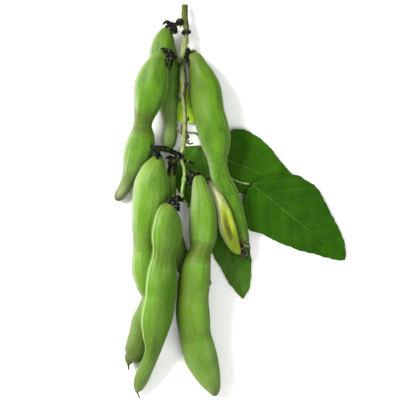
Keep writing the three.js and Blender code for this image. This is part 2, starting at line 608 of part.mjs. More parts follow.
place('stem', stemSolid(0), bark);
for (const [name, pod] of Object.entries(PODS)) {
  place(`pod_${name}`, toSolid(podGeometry(pod, 0)), name === 'young' ? shrivelledSkin : skin);
  place(`husk_${name}`, huskSolid(name, [grownStem, ...grownPods]), dryHusk);
}
const leafStalk = [LEAF_STALK, ...LEAF_STALK_BRANCHES].map((rows) => {
  return toSolid(twigGeometry(rows, TWIG_SIDES, 2, 0));
});
place('leaf_stalk', joined(leafStalk).subtract(grownStem), bark);
for (const [name, leaflet] of Object.entries(LEAFLETS)) {
  place(name, toSolid(bladeGeometry(leaflet)), leaflet.material);
}

export default truss;
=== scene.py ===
# %% [markdown]
# # A truss of velvet bean pods
#
# Eight pods hang from one slender stem, with a three-part leaf behind them. The truss has been cut and laid on a
# pale table, and the camera looks straight down on it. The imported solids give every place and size. This lesson
# dresses them: skins with seams and down, dry husks, a scarred stem, and leaves with veins.

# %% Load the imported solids
import math

import bmesh
import bpy
import numpy as np
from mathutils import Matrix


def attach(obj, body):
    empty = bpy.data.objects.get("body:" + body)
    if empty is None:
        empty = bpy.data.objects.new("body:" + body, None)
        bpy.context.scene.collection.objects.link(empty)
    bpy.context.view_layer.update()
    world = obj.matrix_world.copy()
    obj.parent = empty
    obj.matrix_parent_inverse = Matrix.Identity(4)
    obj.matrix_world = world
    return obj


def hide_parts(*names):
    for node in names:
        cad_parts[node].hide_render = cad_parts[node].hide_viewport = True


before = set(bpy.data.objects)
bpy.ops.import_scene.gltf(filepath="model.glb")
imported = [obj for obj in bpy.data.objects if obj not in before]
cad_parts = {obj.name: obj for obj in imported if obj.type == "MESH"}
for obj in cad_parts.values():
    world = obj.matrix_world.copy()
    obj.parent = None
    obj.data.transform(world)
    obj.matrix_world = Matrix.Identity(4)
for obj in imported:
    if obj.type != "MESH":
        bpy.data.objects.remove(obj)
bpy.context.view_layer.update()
MM = 0.001  # every measured row below is in millimetres, and Blender's unit is the metre
print("solids:", len(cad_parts))

# %% [markdown]
# ## The view
#
# The truss lies flat, so the camera hangs above it with the cut end of the stem at the top of the picture. A long
# lens keeps the pods that lie high from leaning outwards. The light comes from a broad panel at the upper left and a
# weaker one at the right, over a bright table, which is how small produce is often photographed.

# %% Camera over the table
VIEW_MIDDLE = (-16.52, 0.78)  # the point of the table in the middle of the picture
VIEW_WIDTH = 224.0
VIEW_LEVEL = 8.0  # the height at which the picture is exactly VIEW_WIDTH wide
LENS = 200.0
SENSOR = 36.0
FARTHEST = 10.0  # how far the camera sees, in metres


def linked(name, data):
    """A new object in the scene, with this camera, lamp or mesh."""
    made = bpy.data.objects.new(name, data)
    bpy.context.scene.collection.objects.link(made)
    return made


camera_data = bpy.data.cameras.new("camera")
camera_data.lens = LENS
camera_data.sensor_width = SENSOR
camera_data.clip_end = FARTHEST
camera = linked("camera", camera_data)
camera_height = VIEW_WIDTH * LENS / SENSOR + VIEW_LEVEL
camera.location = [MM * length for length in (*VIEW_MIDDLE, camera_height)]
bpy.context.scene.camera = camera
print("camera height in mm:", round(camera_height))

# %% [markdown]
# ## Helpers for node trees
#
# Materials and geometry trees are both made of nodes. The first helper adds a node and either sets or links each of
# its inputs. The others name the sums and patterns that come up again and again, so that a tree reads from its first
# line to its last like a recipe.


# %% Nodes and sums
def node(tree, kind, inputs=(), **settings):
    """Adds a node to a tree, and sets its inputs from values or links them from sockets."""
    made = tree.nodes.new(kind)
    for key, value in settings.items():
        setattr(made, key, value)
    for key, value in dict(inputs).items():
        if isinstance(value, bpy.types.NodeSocket):
            tree.links.new(value, made.inputs[key])
        else:
            made.inputs[key].default_value = value
    return made


def result(tree, kind, inputs=(), **settings):
    """The first output of a new node."""
    return node(tree, kind, inputs, **settings).outputs[0]


def number(tree, operation, *values):
    """The result of one sum on numbers."""
    return result(tree, "ShaderNodeMath", dict(enumerate(values)), operation=operation)


def plus(tree, total, *others):
    """The sum of several numbers."""
    for other in others:
        total = number(tree, "ADD", total, other)
    return total


def times(tree, product, *others):
    """The product of several numbers."""
    for other in others:
        product = number(tree, "MULTIPLY", product, other)
    return product


def spread(tree, value, low, high, to_low=0.0, to_high=1.0):
    """A value's range low to high stretched to another range, and held there."""
    return result(tree, "ShaderNodeMapRange", {0: value, 1: low, 2: high, 3: to_low, 4: to_high})


def shifted(tree, pattern, amount):
    """A noise turned to a number that lies between minus and plus amount."""
    return spread(tree, pattern, 0.3, 0.7, -amount, amount)


# %% Patterns and colours
def painted(tree, name):
    """The number that the piece's own attribute gives at each point."""
    return node(tree, "ShaderNodeAttribute", attribute_name=name).outputs["Fac"]


def noise(tree, place, scale, detail=3.0, roughness=0.5):
    """A cloudy pattern, most of which lies between 0.3 and 0.7."""
    inputs = {"Vector": place, "Scale": scale, "Detail": detail, "Roughness": roughness}
    return result(tree, "ShaderNodeTexNoise", inputs)


def stretched(tree, place, *factors):
    """A place with each direction scaled by its own factor."""
    return result(tree, "ShaderNodeMapping", {"Vector": place, "Scale": factors})


def colour(code):
    """The linear colour of a printed sRGB code such as 76a532."""
    parts = (int(code[i : i + 2], 16) / 255 for i in (0, 2, 4))
    return (*(c / 12.92 if c <= 0.04045 else ((c + 0.055) / 1.055) ** 2.4 for c in parts), 1.0)


def mixed(tree, share, first, second):
    """A colour between two others, each of them a socket or a printed code."""
    first, second = (colour(each) if isinstance(each, str) else each for each in (first, second))
    return node(tree, "ShaderNodeMix", {0: share, 6: first, 7: second}, data_type="RGBA").outputs[2]


def layered(tree, base, *layers):
    """A colour with others laid over it in turn, each given as its strength and its colour."""
    for strength, tint in layers:
        base = mixed(tree, strength, base, tint)
    return base


# %% Materials
def new_material(name, **finish):
    """A material with its tree, its shader and the object's own coordinates."""
    material = bpy.data.materials.new(name)
    material.use_nodes = True
    tree = material.node_tree
    shader = tree.nodes["Principled BSDF"]
    for label, value in finish.items():
        shader.inputs[label.replace("_", " ")].default_value = colour(value) if isinstance(value, str) else value
    return material, tree, shader, node(tree, "ShaderNodeTexCoord").outputs["Object"]


def finished(tree, shader, base, height, strength, depth):
    """Gives a shader its colour, and a bump from a height, a strength and a depth in millimetres."""
    tree.links.new(base, shader.inputs["Base Color"])
    bump = result(tree, "ShaderNodeBump", {"Strength": strength, "Distance": depth * MM, "Height": height})
    tree.links.new(bump, shader.inputs["Normal"])


# %% [markdown]
# ## Table and light
#
# The light is strong enough to bleach the table, as in a catalogue picture, so that shadows stay faint and the pods'
# pale rims show against it. Every lamp is wide, because a downy skin has no hard glints.

# %% Table
TABLE_SIZE = 3.0
TABLE_DROP = 0.0003  # in metres, how far the table's face lies below the truss
half = TABLE_SIZE / 2
table_mesh = bpy.data.meshes.new("table")
corners = [(-half, -half), (half, -half), (half, half), (-half, half)]
table_mesh.from_pydata([(x, y, -TABLE_DROP) for x, y in corners], [], [(0, 1, 2, 3)])
table_mesh.materials.append(new_material("table_white", Base_Color=(0.9, 0.9, 0.9, 1), Roughness=0.9)[0])
table = linked("table", table_mesh)


# %% Lamps and the room's light
def lamp(name, place, size, power, tint):
    """A square lamp that faces the middle of the truss."""
    data = bpy.data.lights.new(name, "AREA")
    data.size = size
    data.energy = power
    data.color = tint
    made = linked(name, data)
    made.location = place
    made.rotation_euler = made.location.normalized().to_track_quat("Z", "Y").to_euler()


lamp("key_panel", (-0.95, 0.5, 0.75), size=0.6, power=41.0, tint=(1.0, 0.98, 0.93))
lamp("fill_panel", (0.5, -0.5, 1.0), size=0.9, power=9.0, tint=(1.0, 1.0, 0.97))
world = bpy.data.worlds.new("room")
bpy.context.scene.world = world
world.use_nodes = True
background = world.node_tree.nodes["Background"].inputs
background["Color"].default_value = (1, 1, 1, 1)
background["Strength"].default_value = 0.62
bpy.context.scene.view_settings.view_transform = "Standard"

# %% [markdown]
# ## From measured rows to smooth lines
#
# Each pod, stalk and leaf edge was measured as a short list of rows. A Catmull-Rom line goes through every row and
# turns smoothly between them, which suits grown things. The squares of the half widths are joined instead of the
# widths themselves, so that an end closes round, as a bean does, and not to a spike.


# %% Lines through rows
NEARBY = 1e-4  # the share of a line that its direction is measured over, to each side


def through(rows, share, open_ends=True):
    """Points of a smooth line through rows of numbers, at shares from 0 to 1 of its spans."""
    rows = np.asarray(rows, float)
    if open_ends:
        first, last = 2 * rows[0] - rows[1], 2 * rows[-1] - rows[-2]
    else:
        first, last = rows[0], rows[-1]
    rows = np.vstack([first, rows, last])
    spans = len(rows) - 3
    reach = np.clip(np.asarray(share, float), 0, 1) * spans
    span = np.minimum(reach.astype(int), spans - 1)
    u = (reach - span)[..., None]
    a, b, c, d = (rows[span + k] for k in range(4))
    return 0.5 * (2 * b + (c - a) * u + (2 * a - 5 * b + 4 * c - d) * u**2 + (3 * b - a - 3 * c + d) * u**3)


def sections(line, share):
    """The middle, the direction ahead, the level side and the top of a line's sections."""
    middle = through(line, share)
    ahead = through(line, share + NEARBY) - through(line, share - NEARBY)
    ahead /= np.linalg.norm(ahead, axis=-1, keepdims=True)
    side = np.cross([0.0, 0.0, 1.0], ahead)
    side /= np.linalg.norm(side, axis=-1, keepdims=True)
    return middle, ahead, side, np.cross(ahead, side)


# %% Shares, ramps and bells
def eased(steps):
    """Shares from 0 to 1 in so many steps, which are shorter near both ends."""
    even = np.linspace(0, 1, steps + 1)
    return even / 2 + (1 - np.cos(math.pi * even)) / 4


def ramp(value, full):
    """Rises from 0 to 1 as a value goes from 0 to full."""
    return np.clip(value / full, 0, 1)


def bell(offset, width):
    """1 where the offset is 0, and less and less to both sides of it."""
    return np.exp(-((offset / width) ** 2))


# %% [markdown]
# ## Closed skins
#
# A pod and a husk are both a sphere pulled along a line: rings of points with one point at each end. One helper turns
# such a table of points into a closed mesh, checks that its faces point outwards, and stores named numbers on its
# points. The materials read those numbers to know where a seam or a tip is.


# %% Meshes and the numbers on their points
def stored(mesh, name, values):
    """Keeps a number or a vector for each point of a mesh, under a name that materials and trees read."""
    values = np.asarray(values, np.float32).reshape(len(mesh.vertices), -1)
    kind, field = ("FLOAT", "value") if values.shape[1] == 1 else ("FLOAT_VECTOR", "vector")
    mesh.attributes.new(name, kind, "POINT").data.foreach_set(field, values.ravel())


def at_points(mesh, what):
    """The places, co, or the directions, normal, of all the points of a mesh."""
    values = np.empty(len(mesh.vertices) * 3, np.float32)
    mesh.vertices.foreach_get(what, values)
    return values.reshape(-1, 3)


def new_object(name, vertices, faces, paint):
    """A mesh object in place, its vertices given in millimetres, with named numbers on its points."""
    vertices = np.asarray(vertices, float)
    triangles = [(f[0], f[k], f[k + 1]) for f in faces for k in range(1, len(f) - 1)]
    a, b, c = (vertices[[t[k] for t in triangles]] for k in range(3))
    volume = np.einsum("ij,ij->i", a, np.cross(b, c)).sum() / 6
    if volume < 0:
        faces = [f[::-1] for f in faces]
    mesh = bpy.data.meshes.new(name)
    mesh.from_pydata((vertices * MM).tolist(), [], faces)
    mesh.shade_smooth()
    for key, values in paint.items():
        stored(mesh, key, values)
    return linked(name, mesh)


# %% Closed skins from tables of points
RIPPLE_SINES = 24  # how many sine waves are added up for one ripple


def closed_skin(name, points, paint):
    """A closed mesh from rings of points, whose first and last rings are single points."""
    rings, sides = points.shape[0] - 1, points.shape[1]
    keep = np.concatenate([[0], np.arange(sides, rings * sides), [rings * sides]])
    vertices = points.reshape(-1, 3)[keep]
    kept_paint = {key: values.reshape(points.shape[0] * sides, -1)[keep] for key, values in paint.items()}
    last = len(vertices) - 1

    def at(ring, side):
        """The number of a vertex: the first and the last ring have only one."""
        return 0 if ring == 0 else last if ring == rings else 1 + (ring - 1) * sides + side % sides

    faces = []
    for ring in range(rings):
        for side in range(sides):
            corners = [at(ring, side), at(ring + 1, side), at(ring + 1, side + 1), at(ring, side + 1)]
            faces.append(tuple(dict.fromkeys(corners)))
    return new_object(name, vertices, faces, kept_paint)


def outward(points):
    """The directions that point out of a skin, for a table of its points."""
    along = np.gradient(points, axis=0)
    wrapped = np.concatenate([points[:, -1:], points, points[:, :1]], axis=1)
    around = (wrapped[:, 2:] - wrapped[:, :-2]) / 2
    normal = np.cross(along, around)
    size = np.linalg.norm(normal, axis=-1, keepdims=True)
    normal = np.divide(normal, size, out=np.zeros_like(normal), where=size > 1e-9)
    middle = points.mean(axis=1, keepdims=True)
    return -normal if ((points - middle) * normal).sum() < 0 else normal


def pushed_out(points, distance):
    """A table of points moved out of the skin by a table of distances."""
    return points + outward(points) * distance[..., None]


def ripple(seed, along, around, waves, longest):
    """Even noise on a tube, from -1 to 1: sine waves along it and round it, which join up behind it."""
    random = np.random.default_rng(seed)
    total = np.zeros_like(along)
    for _ in range(RIPPLE_SINES):
        turn = random.integers(0, waves + 1)
        pace = random.uniform(-1, 1) * 2 * math.pi / longest
        phase = random.uniform(0, 2 * math.pi)
        total += np.sin(pace * along + turn * around + phase)
    return total / math.sqrt(RIPPLE_SINES)


# %% [markdown]
# ## The pods
#
# A velvet bean pod is a flattened tube that swells over each seed, with a seam down both sides and a dry thread, the
# old style, at its tip. Each pod has its own rows: x, y, z of the middle and the half width seen from above. Its roll
# says how far it has turned about its length, which decides where the seams show.

# %% The pods' rows
PODS = {
    "top_back": {
        "roll": 8,
        "rows": [
            [-34.2, 97.9, 6.5, 0], [-35.8, 93.7, 6.3, 4.2], [-37, 88.1, 6, 6.4], [-37.2, 81.4, 5.8, 7.6],
            [-35.8, 73.6, 5.5, 7.7], [-34.7, 65.7, 5.2, 6.4], [-34.4, 58.5, 4.8, 5.5], [-34.3, 52.3, 4.5, 4.6],
            [-33.3, 45.6, 4.2, 3.5], [-32.9, 38.9, 4, 3.6], [-34, 32.7, 3.9, 3.4], [-35.3, 27.7, 4, 0],
        ],
    },
    "top_left": {
        "roll": 15,
        "rows": [
            [-35, 83.4, 16.4, 0], [-38.7, 79.2, 15.8, 4.7], [-41.3, 73.6, 15.4, 7.1], [-43.2, 67.4, 14.8, 9],
            [-44.5, 61.3, 13.8, 9.1], [-46, 54.5, 12.3, 7.6], [-47.7, 47.8, 10.8, 5.6], [-48.6, 42.2, 9.6, 5],
            [-49, 36.1, 8.4, 7], [-50.4, 29.9, 7.2, 8.1], [-52.4, 23.7, 5.9, 7.4], [-54.4, 17.6, 4.5, 5.6],
            [-56.8, 12, 3.5, 3.9], [-59.6, 6.8, 2.8, 3.3], [-62.1, 3.1, 2.4, 2.9], [-63.8, 0.4, 2.2, 0],
        ],
    },
    "middle_left": {
        "roll": 10,
        "rows": [
            [-39.5, 25.7, 12.6, 0], [-40.6, 21.5, 12.5, 4.8], [-42.3, 15.9, 12.3, 7.6], [-43.6, 9.2, 11.8, 9.4],
            [-44.2, 1.9, 11, 9.9], [-45.1, -5.4, 10.2, 9.4], [-46.5, -13.2, 9.1, 8.1], [-46.9, -20.5, 8, 7.1],
            [-46.9, -27.2, 7.2, 6.9], [-47, -33.9, 6.6, 7.6], [-47, -40.1, 5.9, 7.4], [-46.5, -46.8, 5.1, 5.7],
            [-45.1, -53.5, 4.5, 4.1], [-46.5, -60.3, 4.3, 4.8], [-48.6, -67, 4.5, 6], [-50.1, -73.7, 4.5, 5.9],
            [-51.8, -80.4, 4.5, 6], [-53.9, -86, 4.1, 5.3], [-56, -88.7, 3.8, 3], [-56.6, -91.1, 3.6, 1.3],
            [-56.7, -92.5, 3.5, 0.6], [-56.6, -94.7, 3.4, 0],
        ],
    },
    "front_left": {
        "roll": -42,
        "rows": [
            [-33.6, -0.9, 19, 0], [-34.3, -4, 19.2, 5], [-34.7, -8.7, 19.2, 7], [-34.8, -14.9, 18.6, 8.5],
            [-35.2, -20.5, 17.6, 8.3], [-36, -26.1, 16.6, 7], [-37, -31.7, 16, 6.6], [-37.6, -38.4, 15.6, 8.1],
            [-37.9, -45.7, 15.2, 8.9], [-38.5, -53, 14.8, 8.7], [-39.7, -60.3, 14.6, 9.1], [-40.8, -67, 14, 8.7],
            [-41.7, -73.7, 12.7, 7.1], [-42.4, -80.4, 10.7, 5], [-44, -86.6, 8.6, 4.1], [-46.4, -92.7, 6.6, 4],
            [-49.3, -99.2, 4.8, 4.1], [-51, -104.5, 3.6, 2.9], [-51.6, -107.6, 3, 0.7], [-50.4, -110.7, 2.7, 0],
        ],
    },
    "front_right": {
        "roll": 30,
        "rows": [
            [-17.6, 15.2, 12.5, 0], [-17.3, 12.2, 12.4, 3.4], [-16.2, 6.4, 12.3, 5], [-15.2, 0.8, 12.2, 6.4],
            [-15, -5.9, 12.1, 7.6], [-14.8, -13.2, 12.1, 7.8], [-15, -20.5, 12.1, 7.4], [-16.1, -26.7, 12.5, 6.2],
            [-17.7, -32.8, 12.9, 7.2], [-18.9, -39, 12.9, 8.4], [-19.9, -45.7, 12.3, 8.9], [-20.6, -53, 11.5, 8.8],
            [-20.8, -60.3, 10.6, 9.4], [-20.3, -67, 9.8, 9.4], [-19.3, -74.3, 8.9, 8.8], [-17.6, -81.5, 8, 9.2],
            [-15.7, -88.3, 7.1, 9.1], [-13.4, -94.4, 6.2, 8], [-11.2, -100, 5.3, 6.3], [-9.2, -105.1, 4.3, 4.1],
            [-8.1, -109.5, 3.6, 0],
        ],
    },
    "right": {
        "roll": 28,
        "rows": [
            [-20.4, 83.9, 9, 0], [-19.6, 80.3, 9, 4.2], [-17.8, 75.3, 9, 5.4], [-15.5, 69.7, 9, 7.1],
            [-13.7, 63.5, 9, 8.5], [-12.8, 56.8, 9, 8.9], [-11.6, 49.5, 9.1, 8.7], [-9.6, 42.2, 9.3, 8.9],
            [-8.1, 35.5, 9.4, 8.7], [-7.4, 29.3, 9.3, 7.3], [-6.9, 23.2, 9, 5.4], [-6, 17, 8.6, 5],
            [-4.5, 11.4, 8.1, 5.5], [-1.4, 5.8, 7.6, 5.5], [1.4, -0.3, 7, 5.3], [3.4, -7.1, 6.4, 4.8],
            [5.6, -13.8, 5.8, 4.3], [7.6, -20.5, 5.1, 3.4], [8.5, -26.7, 4.6, 2.7], [8.4, -33.1, 4.3, 0],
        ],
    },
    "young": {
        "roll": 0, "flatness": 0.45,
        "rows": [
            [-12.3, 12, 7.9, 0], [-10.4, 9.5, 9.2, 1.4], [-8, 5.8, 11.3, 2.1], [-5.8, 1.3, 12.4, 2.6],
            [-4, -3.1, 12.6, 3.1], [-2.7, -7.6, 12.3, 3.7], [-1.7, -12.7, 11.6, 4.2], [-0.4, -17.1, 10.8, 4.3],
            [1.2, -21.6, 9.9, 3.6], [3.2, -25.8, 8.9, 2.7], [5.9, -29.5, 8, 0],
        ],
    },
    "back": {
        "roll": 0, "flatness": 0.65,
        "rows": [
            [-32, 23, 6.6, 0], [-32.6, 18.6, 6.2, 2.2], [-33, 13.6, 5.6, 2.8], [-33.4, 8.2, 4.9, 3.2],
            [-33.7, 1.9, 4.1, 3.8], [-33.4, -5.9, 3.7, 3.9], [-32.3, -13.8, 3.7, 4.2], [-30.9, -21.1, 3.8, 4.7],
            [-28.9, -28.6, 3.5, 5.1], [-25.4, -35.8, 2.9, 5], [-20.6, -40.8, 2.4, 4.3], [-15.6, -44, 2.2, 3.5],
            [-12.2, -46, 2.1, 2.4], [-10.7, -47.3, 2.1, 0],
        ],
    },
}
for pod in PODS.values():
    rows = np.array(pod["rows"], float)
    pod["line"] = rows[:, :3]
    pod["girth"] = rows[:, 3:] ** 2
    pod["length"] = np.linalg.norm(np.diff(rows[:, :3], axis=0), axis=1).sum()
print({name: round(pod["length"]) for name, pod in PODS.items()})

# %% [markdown]
# The section of a pod is an ellipse. The table below gives, for any place along a pod and any angle round it, the
# point of its skin. The seams are thin ridges at the two narrow edges, each with a fine groove down its middle.

# %% The skin of a pod
STYLE_RADIUS = 0.5
SLENDER_FLATNESS = 0.92  # thickness over width where a pod is slender
FLATTENING = 0.028  # how much flatter it grows for each millimetre of half width
SEAM_RISE = 0.45
SEAM_SPREAD = 0.15
SEAM_FULL_WIDTH = 5.0  # the half width from which a seam has its full height


def pod_points(pod, share, angle, lift=0.0):
    """Points of a pod's skin, raised by lift, and how strongly each lies on a seam."""
    middle, ahead, side, top = sections(pod["line"], share)
    girth = through(pod["girth"], share)[..., 0]
    seen = np.sqrt(np.maximum(girth, STYLE_RADIUS**2))
    flatness = pod.get("flatness", SLENDER_FLATNESS - FLATTENING * seen)
    roll = math.radians(pod["roll"])
    broad = seen / np.hypot(math.cos(roll), flatness * math.sin(roll))
    on_seam = bell(np.sin(angle), SEAM_SPREAD) * ramp(seen, SEAM_FULL_WIDTH)
    across = np.cos(angle) * (broad + SEAM_RISE * on_seam + lift)
    up = np.sin(angle) * (broad * flatness + lift)
    across, up = across * math.cos(roll) - up * math.sin(roll), across * math.sin(roll) + up * math.cos(roll)
    points = middle + side * across[..., None] + top * up[..., None]
    lift = np.broadcast_to(lift, share.shape)
    points = np.where((share <= 0)[..., None], middle - ahead * lift[..., None], points)
    points = np.where((share >= 1)[..., None], middle + ahead * lift[..., None], points)
    return points, on_seam


# %% [markdown]
# Small forms make a skin look grown. Broad soft dents lie between the seeds, shallow ribs run along the pod, a fine
# crosswise crinkle shows where it narrows, and two of the pods have a second ridge beside their seam. They are pushed
# out of the smooth skin as real geometry, a few tenths of a millimetre high. The dents keep to the broad faces, so
# that the outline stays as it was measured.

# %% What sets each pod apart
# tone is 0 on a deep olive green pod and 1 on a fresh pale one, aged says how olive its lower end has turned, faded
# how pale it has turned, browned how brown its right-hand seam is, rubbed how bare its left-hand one, and olive_waist
# how olive its waists are. The left-flank number says how strongly the left flank is painted a darker olive: a painted
# shadow where a neighbour lies over it, with some olive tint. dry_neck is the reach of the neck's olive tint and
# brown_tip that of the tip's brown, in millimetres. A ridge has an angle, a height and a paleness. What starts
# somewhere or has its middle there gives a share of the pod's length
PLAIN_LOOK = {
    "aged": 0.0, "faded": 0.0, "browned": 0.0, "rubbed": 0.0, "olive_waist": 1.0, "olive_and_shade_left": 0.0,
    "dry_neck": 7.0, "brown_tip": 1.6, "ridge": (0.0, 0.0, 0.0),
    "starts_aging": 0.55, "olive_and_shade_middle": 0.55, "withered_from": 2.0,
}
POD_LOOKS = {
    "top_back": {"tone": 0.24, "faded": 0.3, "starts_aging": 0.35, "browned": 0.7},
    "top_left": {"tone": 0.33, "faded": 1.0, "browned": 0.1, "brown_tip": 6.0},
    "middle_left": {"tone": 0.85, "aged": 1.0, "starts_aging": 0.5, "olive_waist": 0.5, "brown_tip": 4.0},
    "front_left": {
        "tone": 0.9, "aged": 0.45, "faded": 0.3, "browned": 0.1, "rubbed": 0.8, "brown_tip": 2.4,
        "olive_waist": 0.45, "ridge": (math.pi + 0.42, 0.16, 0.72),
    },
    "front_right": {"tone": 0.8, "faded": 0.2, "browned": 1.0, "olive_and_shade_left": 0.9, "brown_tip": 2.6},
    "right": {
        "tone": 0.33, "browned": 0.4, "olive_and_shade_left": 0.7, "olive_and_shade_middle": 0.12, "olive_waist": 0.1, "dry_neck": 12.0,
        "ridge": (0.32, 0.15, 0.88), "withered_from": 0.86,
    },
    "young": {"tone": 0.5},
    # The back pod's full tone is partly painted light: it is painted paler to make up for the shade of the pods over
    # it.
    "back": {"tone": 1.0, "aged": 0.2, "starts_aging": 0.0, "browned": 0.2},
}
looks = {name: PLAIN_LOOK | look for name, look in POD_LOOKS.items()}
print("pods with a second ridge:", [name for name, look in looks.items() if look["ridge"][1]])

# %% Shape the pods
POD_SIDES = 96
POD_RINGS = 320
CROWDING = 0.25  # how far the points are drawn towards the seams
SETTLE_HEIGHT = 0.45  # skin lower than this has settled on the table
DENT, DENT_LENGTH = 0.34, 20.0
FURROW, FURROW_LENGTH = 0.07, 30.0
CRINKLE, CRINKLE_LENGTH = 0.06, 1.3
CRUMPLE, CRUMPLE_LENGTH = 0.35, 2.0  # on a withered tip
LEAST_CRINKLE = 0.3  # the share of the crinkle that a full swelling has
SEAM_GROOVE, GROOVE_SPREAD = 0.22, 0.035
RIDGE_SPREAD, RIDGE_SWAY, SWAY_LENGTH = 0.035, 0.06, 7.0
RIDGE_MIDDLE, RIDGE_REACH = 0.45, 1.1  # shares of the pod's length
SEAM_CALM = 0.7  # how much of the relief the seams are free of
WIDEST_CALM = 4.0  # small forms fade out where a pod is narrower than this to each side
WAIST_RINGS = 34  # a waist is where a pod is narrower than its mean over this many rings each way
WAIST_DEPTH = 0.8
AGING = 0.35  # the share of a pod's length over which it turns olive
WITHERING = 0.09  # and the share over which its skin turns from green to withered
waist_window = np.full(2 * WAIST_RINGS + 1, 1 / (2 * WAIST_RINGS + 1))
even_turns = np.linspace(0, 2 * math.pi, POD_SIDES, endpoint=False)
share, turn = np.meshgrid(eased(POD_RINGS), even_turns, indexing="ij")
angle = turn - CROWDING * np.sin(2 * turn)
skins = {}
for seed, (name, pod) in enumerate(PODS.items()):
    look = looks[name]
    points, on_seam = pod_points(pod, share, angle)
    along = share * pod["length"]
    width = np.sqrt(np.maximum(through(pod["girth"], share)[..., 0], 0))
    calm = ramp(width, WIDEST_CALM)
    usual = np.convolve(np.pad(width[:, 0], WAIST_RINGS, mode="edge"), waist_window, "valid")
    waist = ramp(usual[:, None] - width, WAIST_DEPTH) * calm
    ridge_angle, ridge_height, paleness = look["ridge"]
    from_ridge = np.sin((angle - ridge_angle + RIDGE_SWAY * np.sin(along / SWAY_LENGTH)) / 2)
    ridge = bell(from_ridge, RIDGE_SPREAD) * np.cos((share - RIDGE_MIDDLE) * math.pi / RIDGE_REACH) ** 2
    lower_end = ramp(share - look["starts_aging"], AGING)
    withered = ramp(share - look["withered_from"], WITHERING)
    relief = DENT * np.sin(angle) ** 2 * ripple(seed, along, angle, waves=3, longest=DENT_LENGTH)
    relief += FURROW * ripple(seed + 20, along, angle, waves=22, longest=FURROW_LENGTH)
    wrinkled = LEAST_CRINKLE + np.maximum(waist, 0.5 * look["aged"] * lower_end)
    relief += CRINKLE * wrinkled * ripple(seed + 50, along, angle, waves=5, longest=CRINKLE_LENGTH)
    relief = (relief + ridge_height * ridge) * calm * (1 - SEAM_CALM * on_seam)
    relief -= SEAM_GROOVE * bell(np.sin(angle), GROOVE_SPREAD) * calm
    relief[0] = relief[-1] = 0
    points = pushed_out(points, relief)
    height = points[..., 2]
    points[..., 2] = np.maximum(height, SETTLE_HEIGHT * np.exp(np.minimum(height / SETTLE_HEIGHT, 1) - 1))
    crumple = ripple(99, along, angle, waves=9, longest=CRUMPLE_LENGTH)
    points = pushed_out(points, CRUMPLE * withered * crumple)
    skins[name] = {
        "points": points, "along": along, "width": width, "on_seam": on_seam, "waist": waist,
        "pale_ridge": paleness * ridge, "lower_end": lower_end, "withered": withered,
    }
print("points on a skin:", share.size)

# %% [markdown]
# Each point of a skin also carries numbers for the finish: where it lies, which way it faces, and how strongly each
# mark of its pod's look shows there. The points are told apart here once, so the finish has only to mix colours.

# %% Paint the skins and make their meshes
OWN_RADIUS = 8.0  # the radius in millimetres that the skin's patterns are unrolled from
OWN_STEP = 200.0  # how far apart the pods lie in those patterns
STYLE_WIDTH = 1.2  # the tip is dry where it is narrower than this to each side
STYLE_START = 0.9
NECK_OVER_TIP = 1.2  # how much further the olive tint reaches at the neck than at the tip
OLIVE_AND_SHADE_TURN, OLIVE_AND_SHADE_REACH = 0.6, 0.25
RUBBED_TURN, RUBBED_SPREAD = 0.2, 0.17
pods = {}
for seed, (name, skin) in enumerate(skins.items()):
    look, length = looks[name], PODS[name]["length"]
    points, along, on_seam, withered = (skin[key] for key in ("points", "along", "on_seam", "withered"))
    leftward = -outward(points)[..., 0]
    style = ramp(2 * (STYLE_WIDTH - skin["width"]), STYLE_WIDTH) * (share > STYLE_START)
    browned = look["browned"] * on_seam * (np.cos(angle) > 0)
    # Painted shadow, tinted olive: the left flank that a neighbour lies over, around the middle given in the look.
    olive_and_shade = look["olive_and_shade_left"] * ramp(leftward, OLIVE_AND_SHADE_TURN) * bell(share - look["olive_and_shade_middle"], OLIVE_AND_SHADE_REACH)
    rubbed = look["rubbed"] * bell(np.sin((angle - math.pi - RUBBED_TURN) / 2), RUBBED_SPREAD)
    tip = np.exp((along - length) / look["brown_tip"])
    paint = {
        "seam": np.maximum(on_seam, skin["pale_ridge"]),
        "browned": browned,
        "around": np.sin(angle),
        "leftward": leftward,
        "olive_and_shade": olive_and_shade,
        # Where the painted highlight and rim are held back and the green is painted darker, partly as painted shade.
        # This is on browned seams, on a flank in a neighbour's painted shadow, and on a rubbed left seam.
        "unhighlighted": np.maximum.reduce([browned, olive_and_shade, rubbed]),
        "waist": skin["waist"] * look["olive_waist"],
        "aged": look["aged"] * skin["lower_end"],
        "faded": look["faded"] * skin["lower_end"] ** 2,
        "dryness": np.exp(-np.minimum(along, NECK_OVER_TIP * (length - along)) / look["dry_neck"]),
        "tip": tip,
        "withered": np.maximum(withered, style),
        "bare": np.maximum.reduce([withered, style, tip, np.minimum(1.1 * olive_and_shade, 1), np.minimum(2 * rubbed, 1)]),
        "tone": np.full_like(share, look["tone"]),
        "share": share,
        "own": np.dstack([OWN_RADIUS * np.cos(angle), OWN_RADIUS * np.sin(angle), along + OWN_STEP * seed]),
    }
    pods[name] = closed_skin(f"pod_{name}_skin", points, paint)
print("pod faces:", {name: len(o.data.polygons) for name, o in pods.items()})

# %% [markdown]
# ## Trees that grow things
#
# Geometry Nodes suit whatever repeats or follows a line. Three trees do all of that work here: one sweeps a round
# section along a measured line, one sets small knobs on points, and one plants short hairs all over a skin. Each
# tree has named inputs, ends in real faces with a material, and its result is kept as a plain mesh.


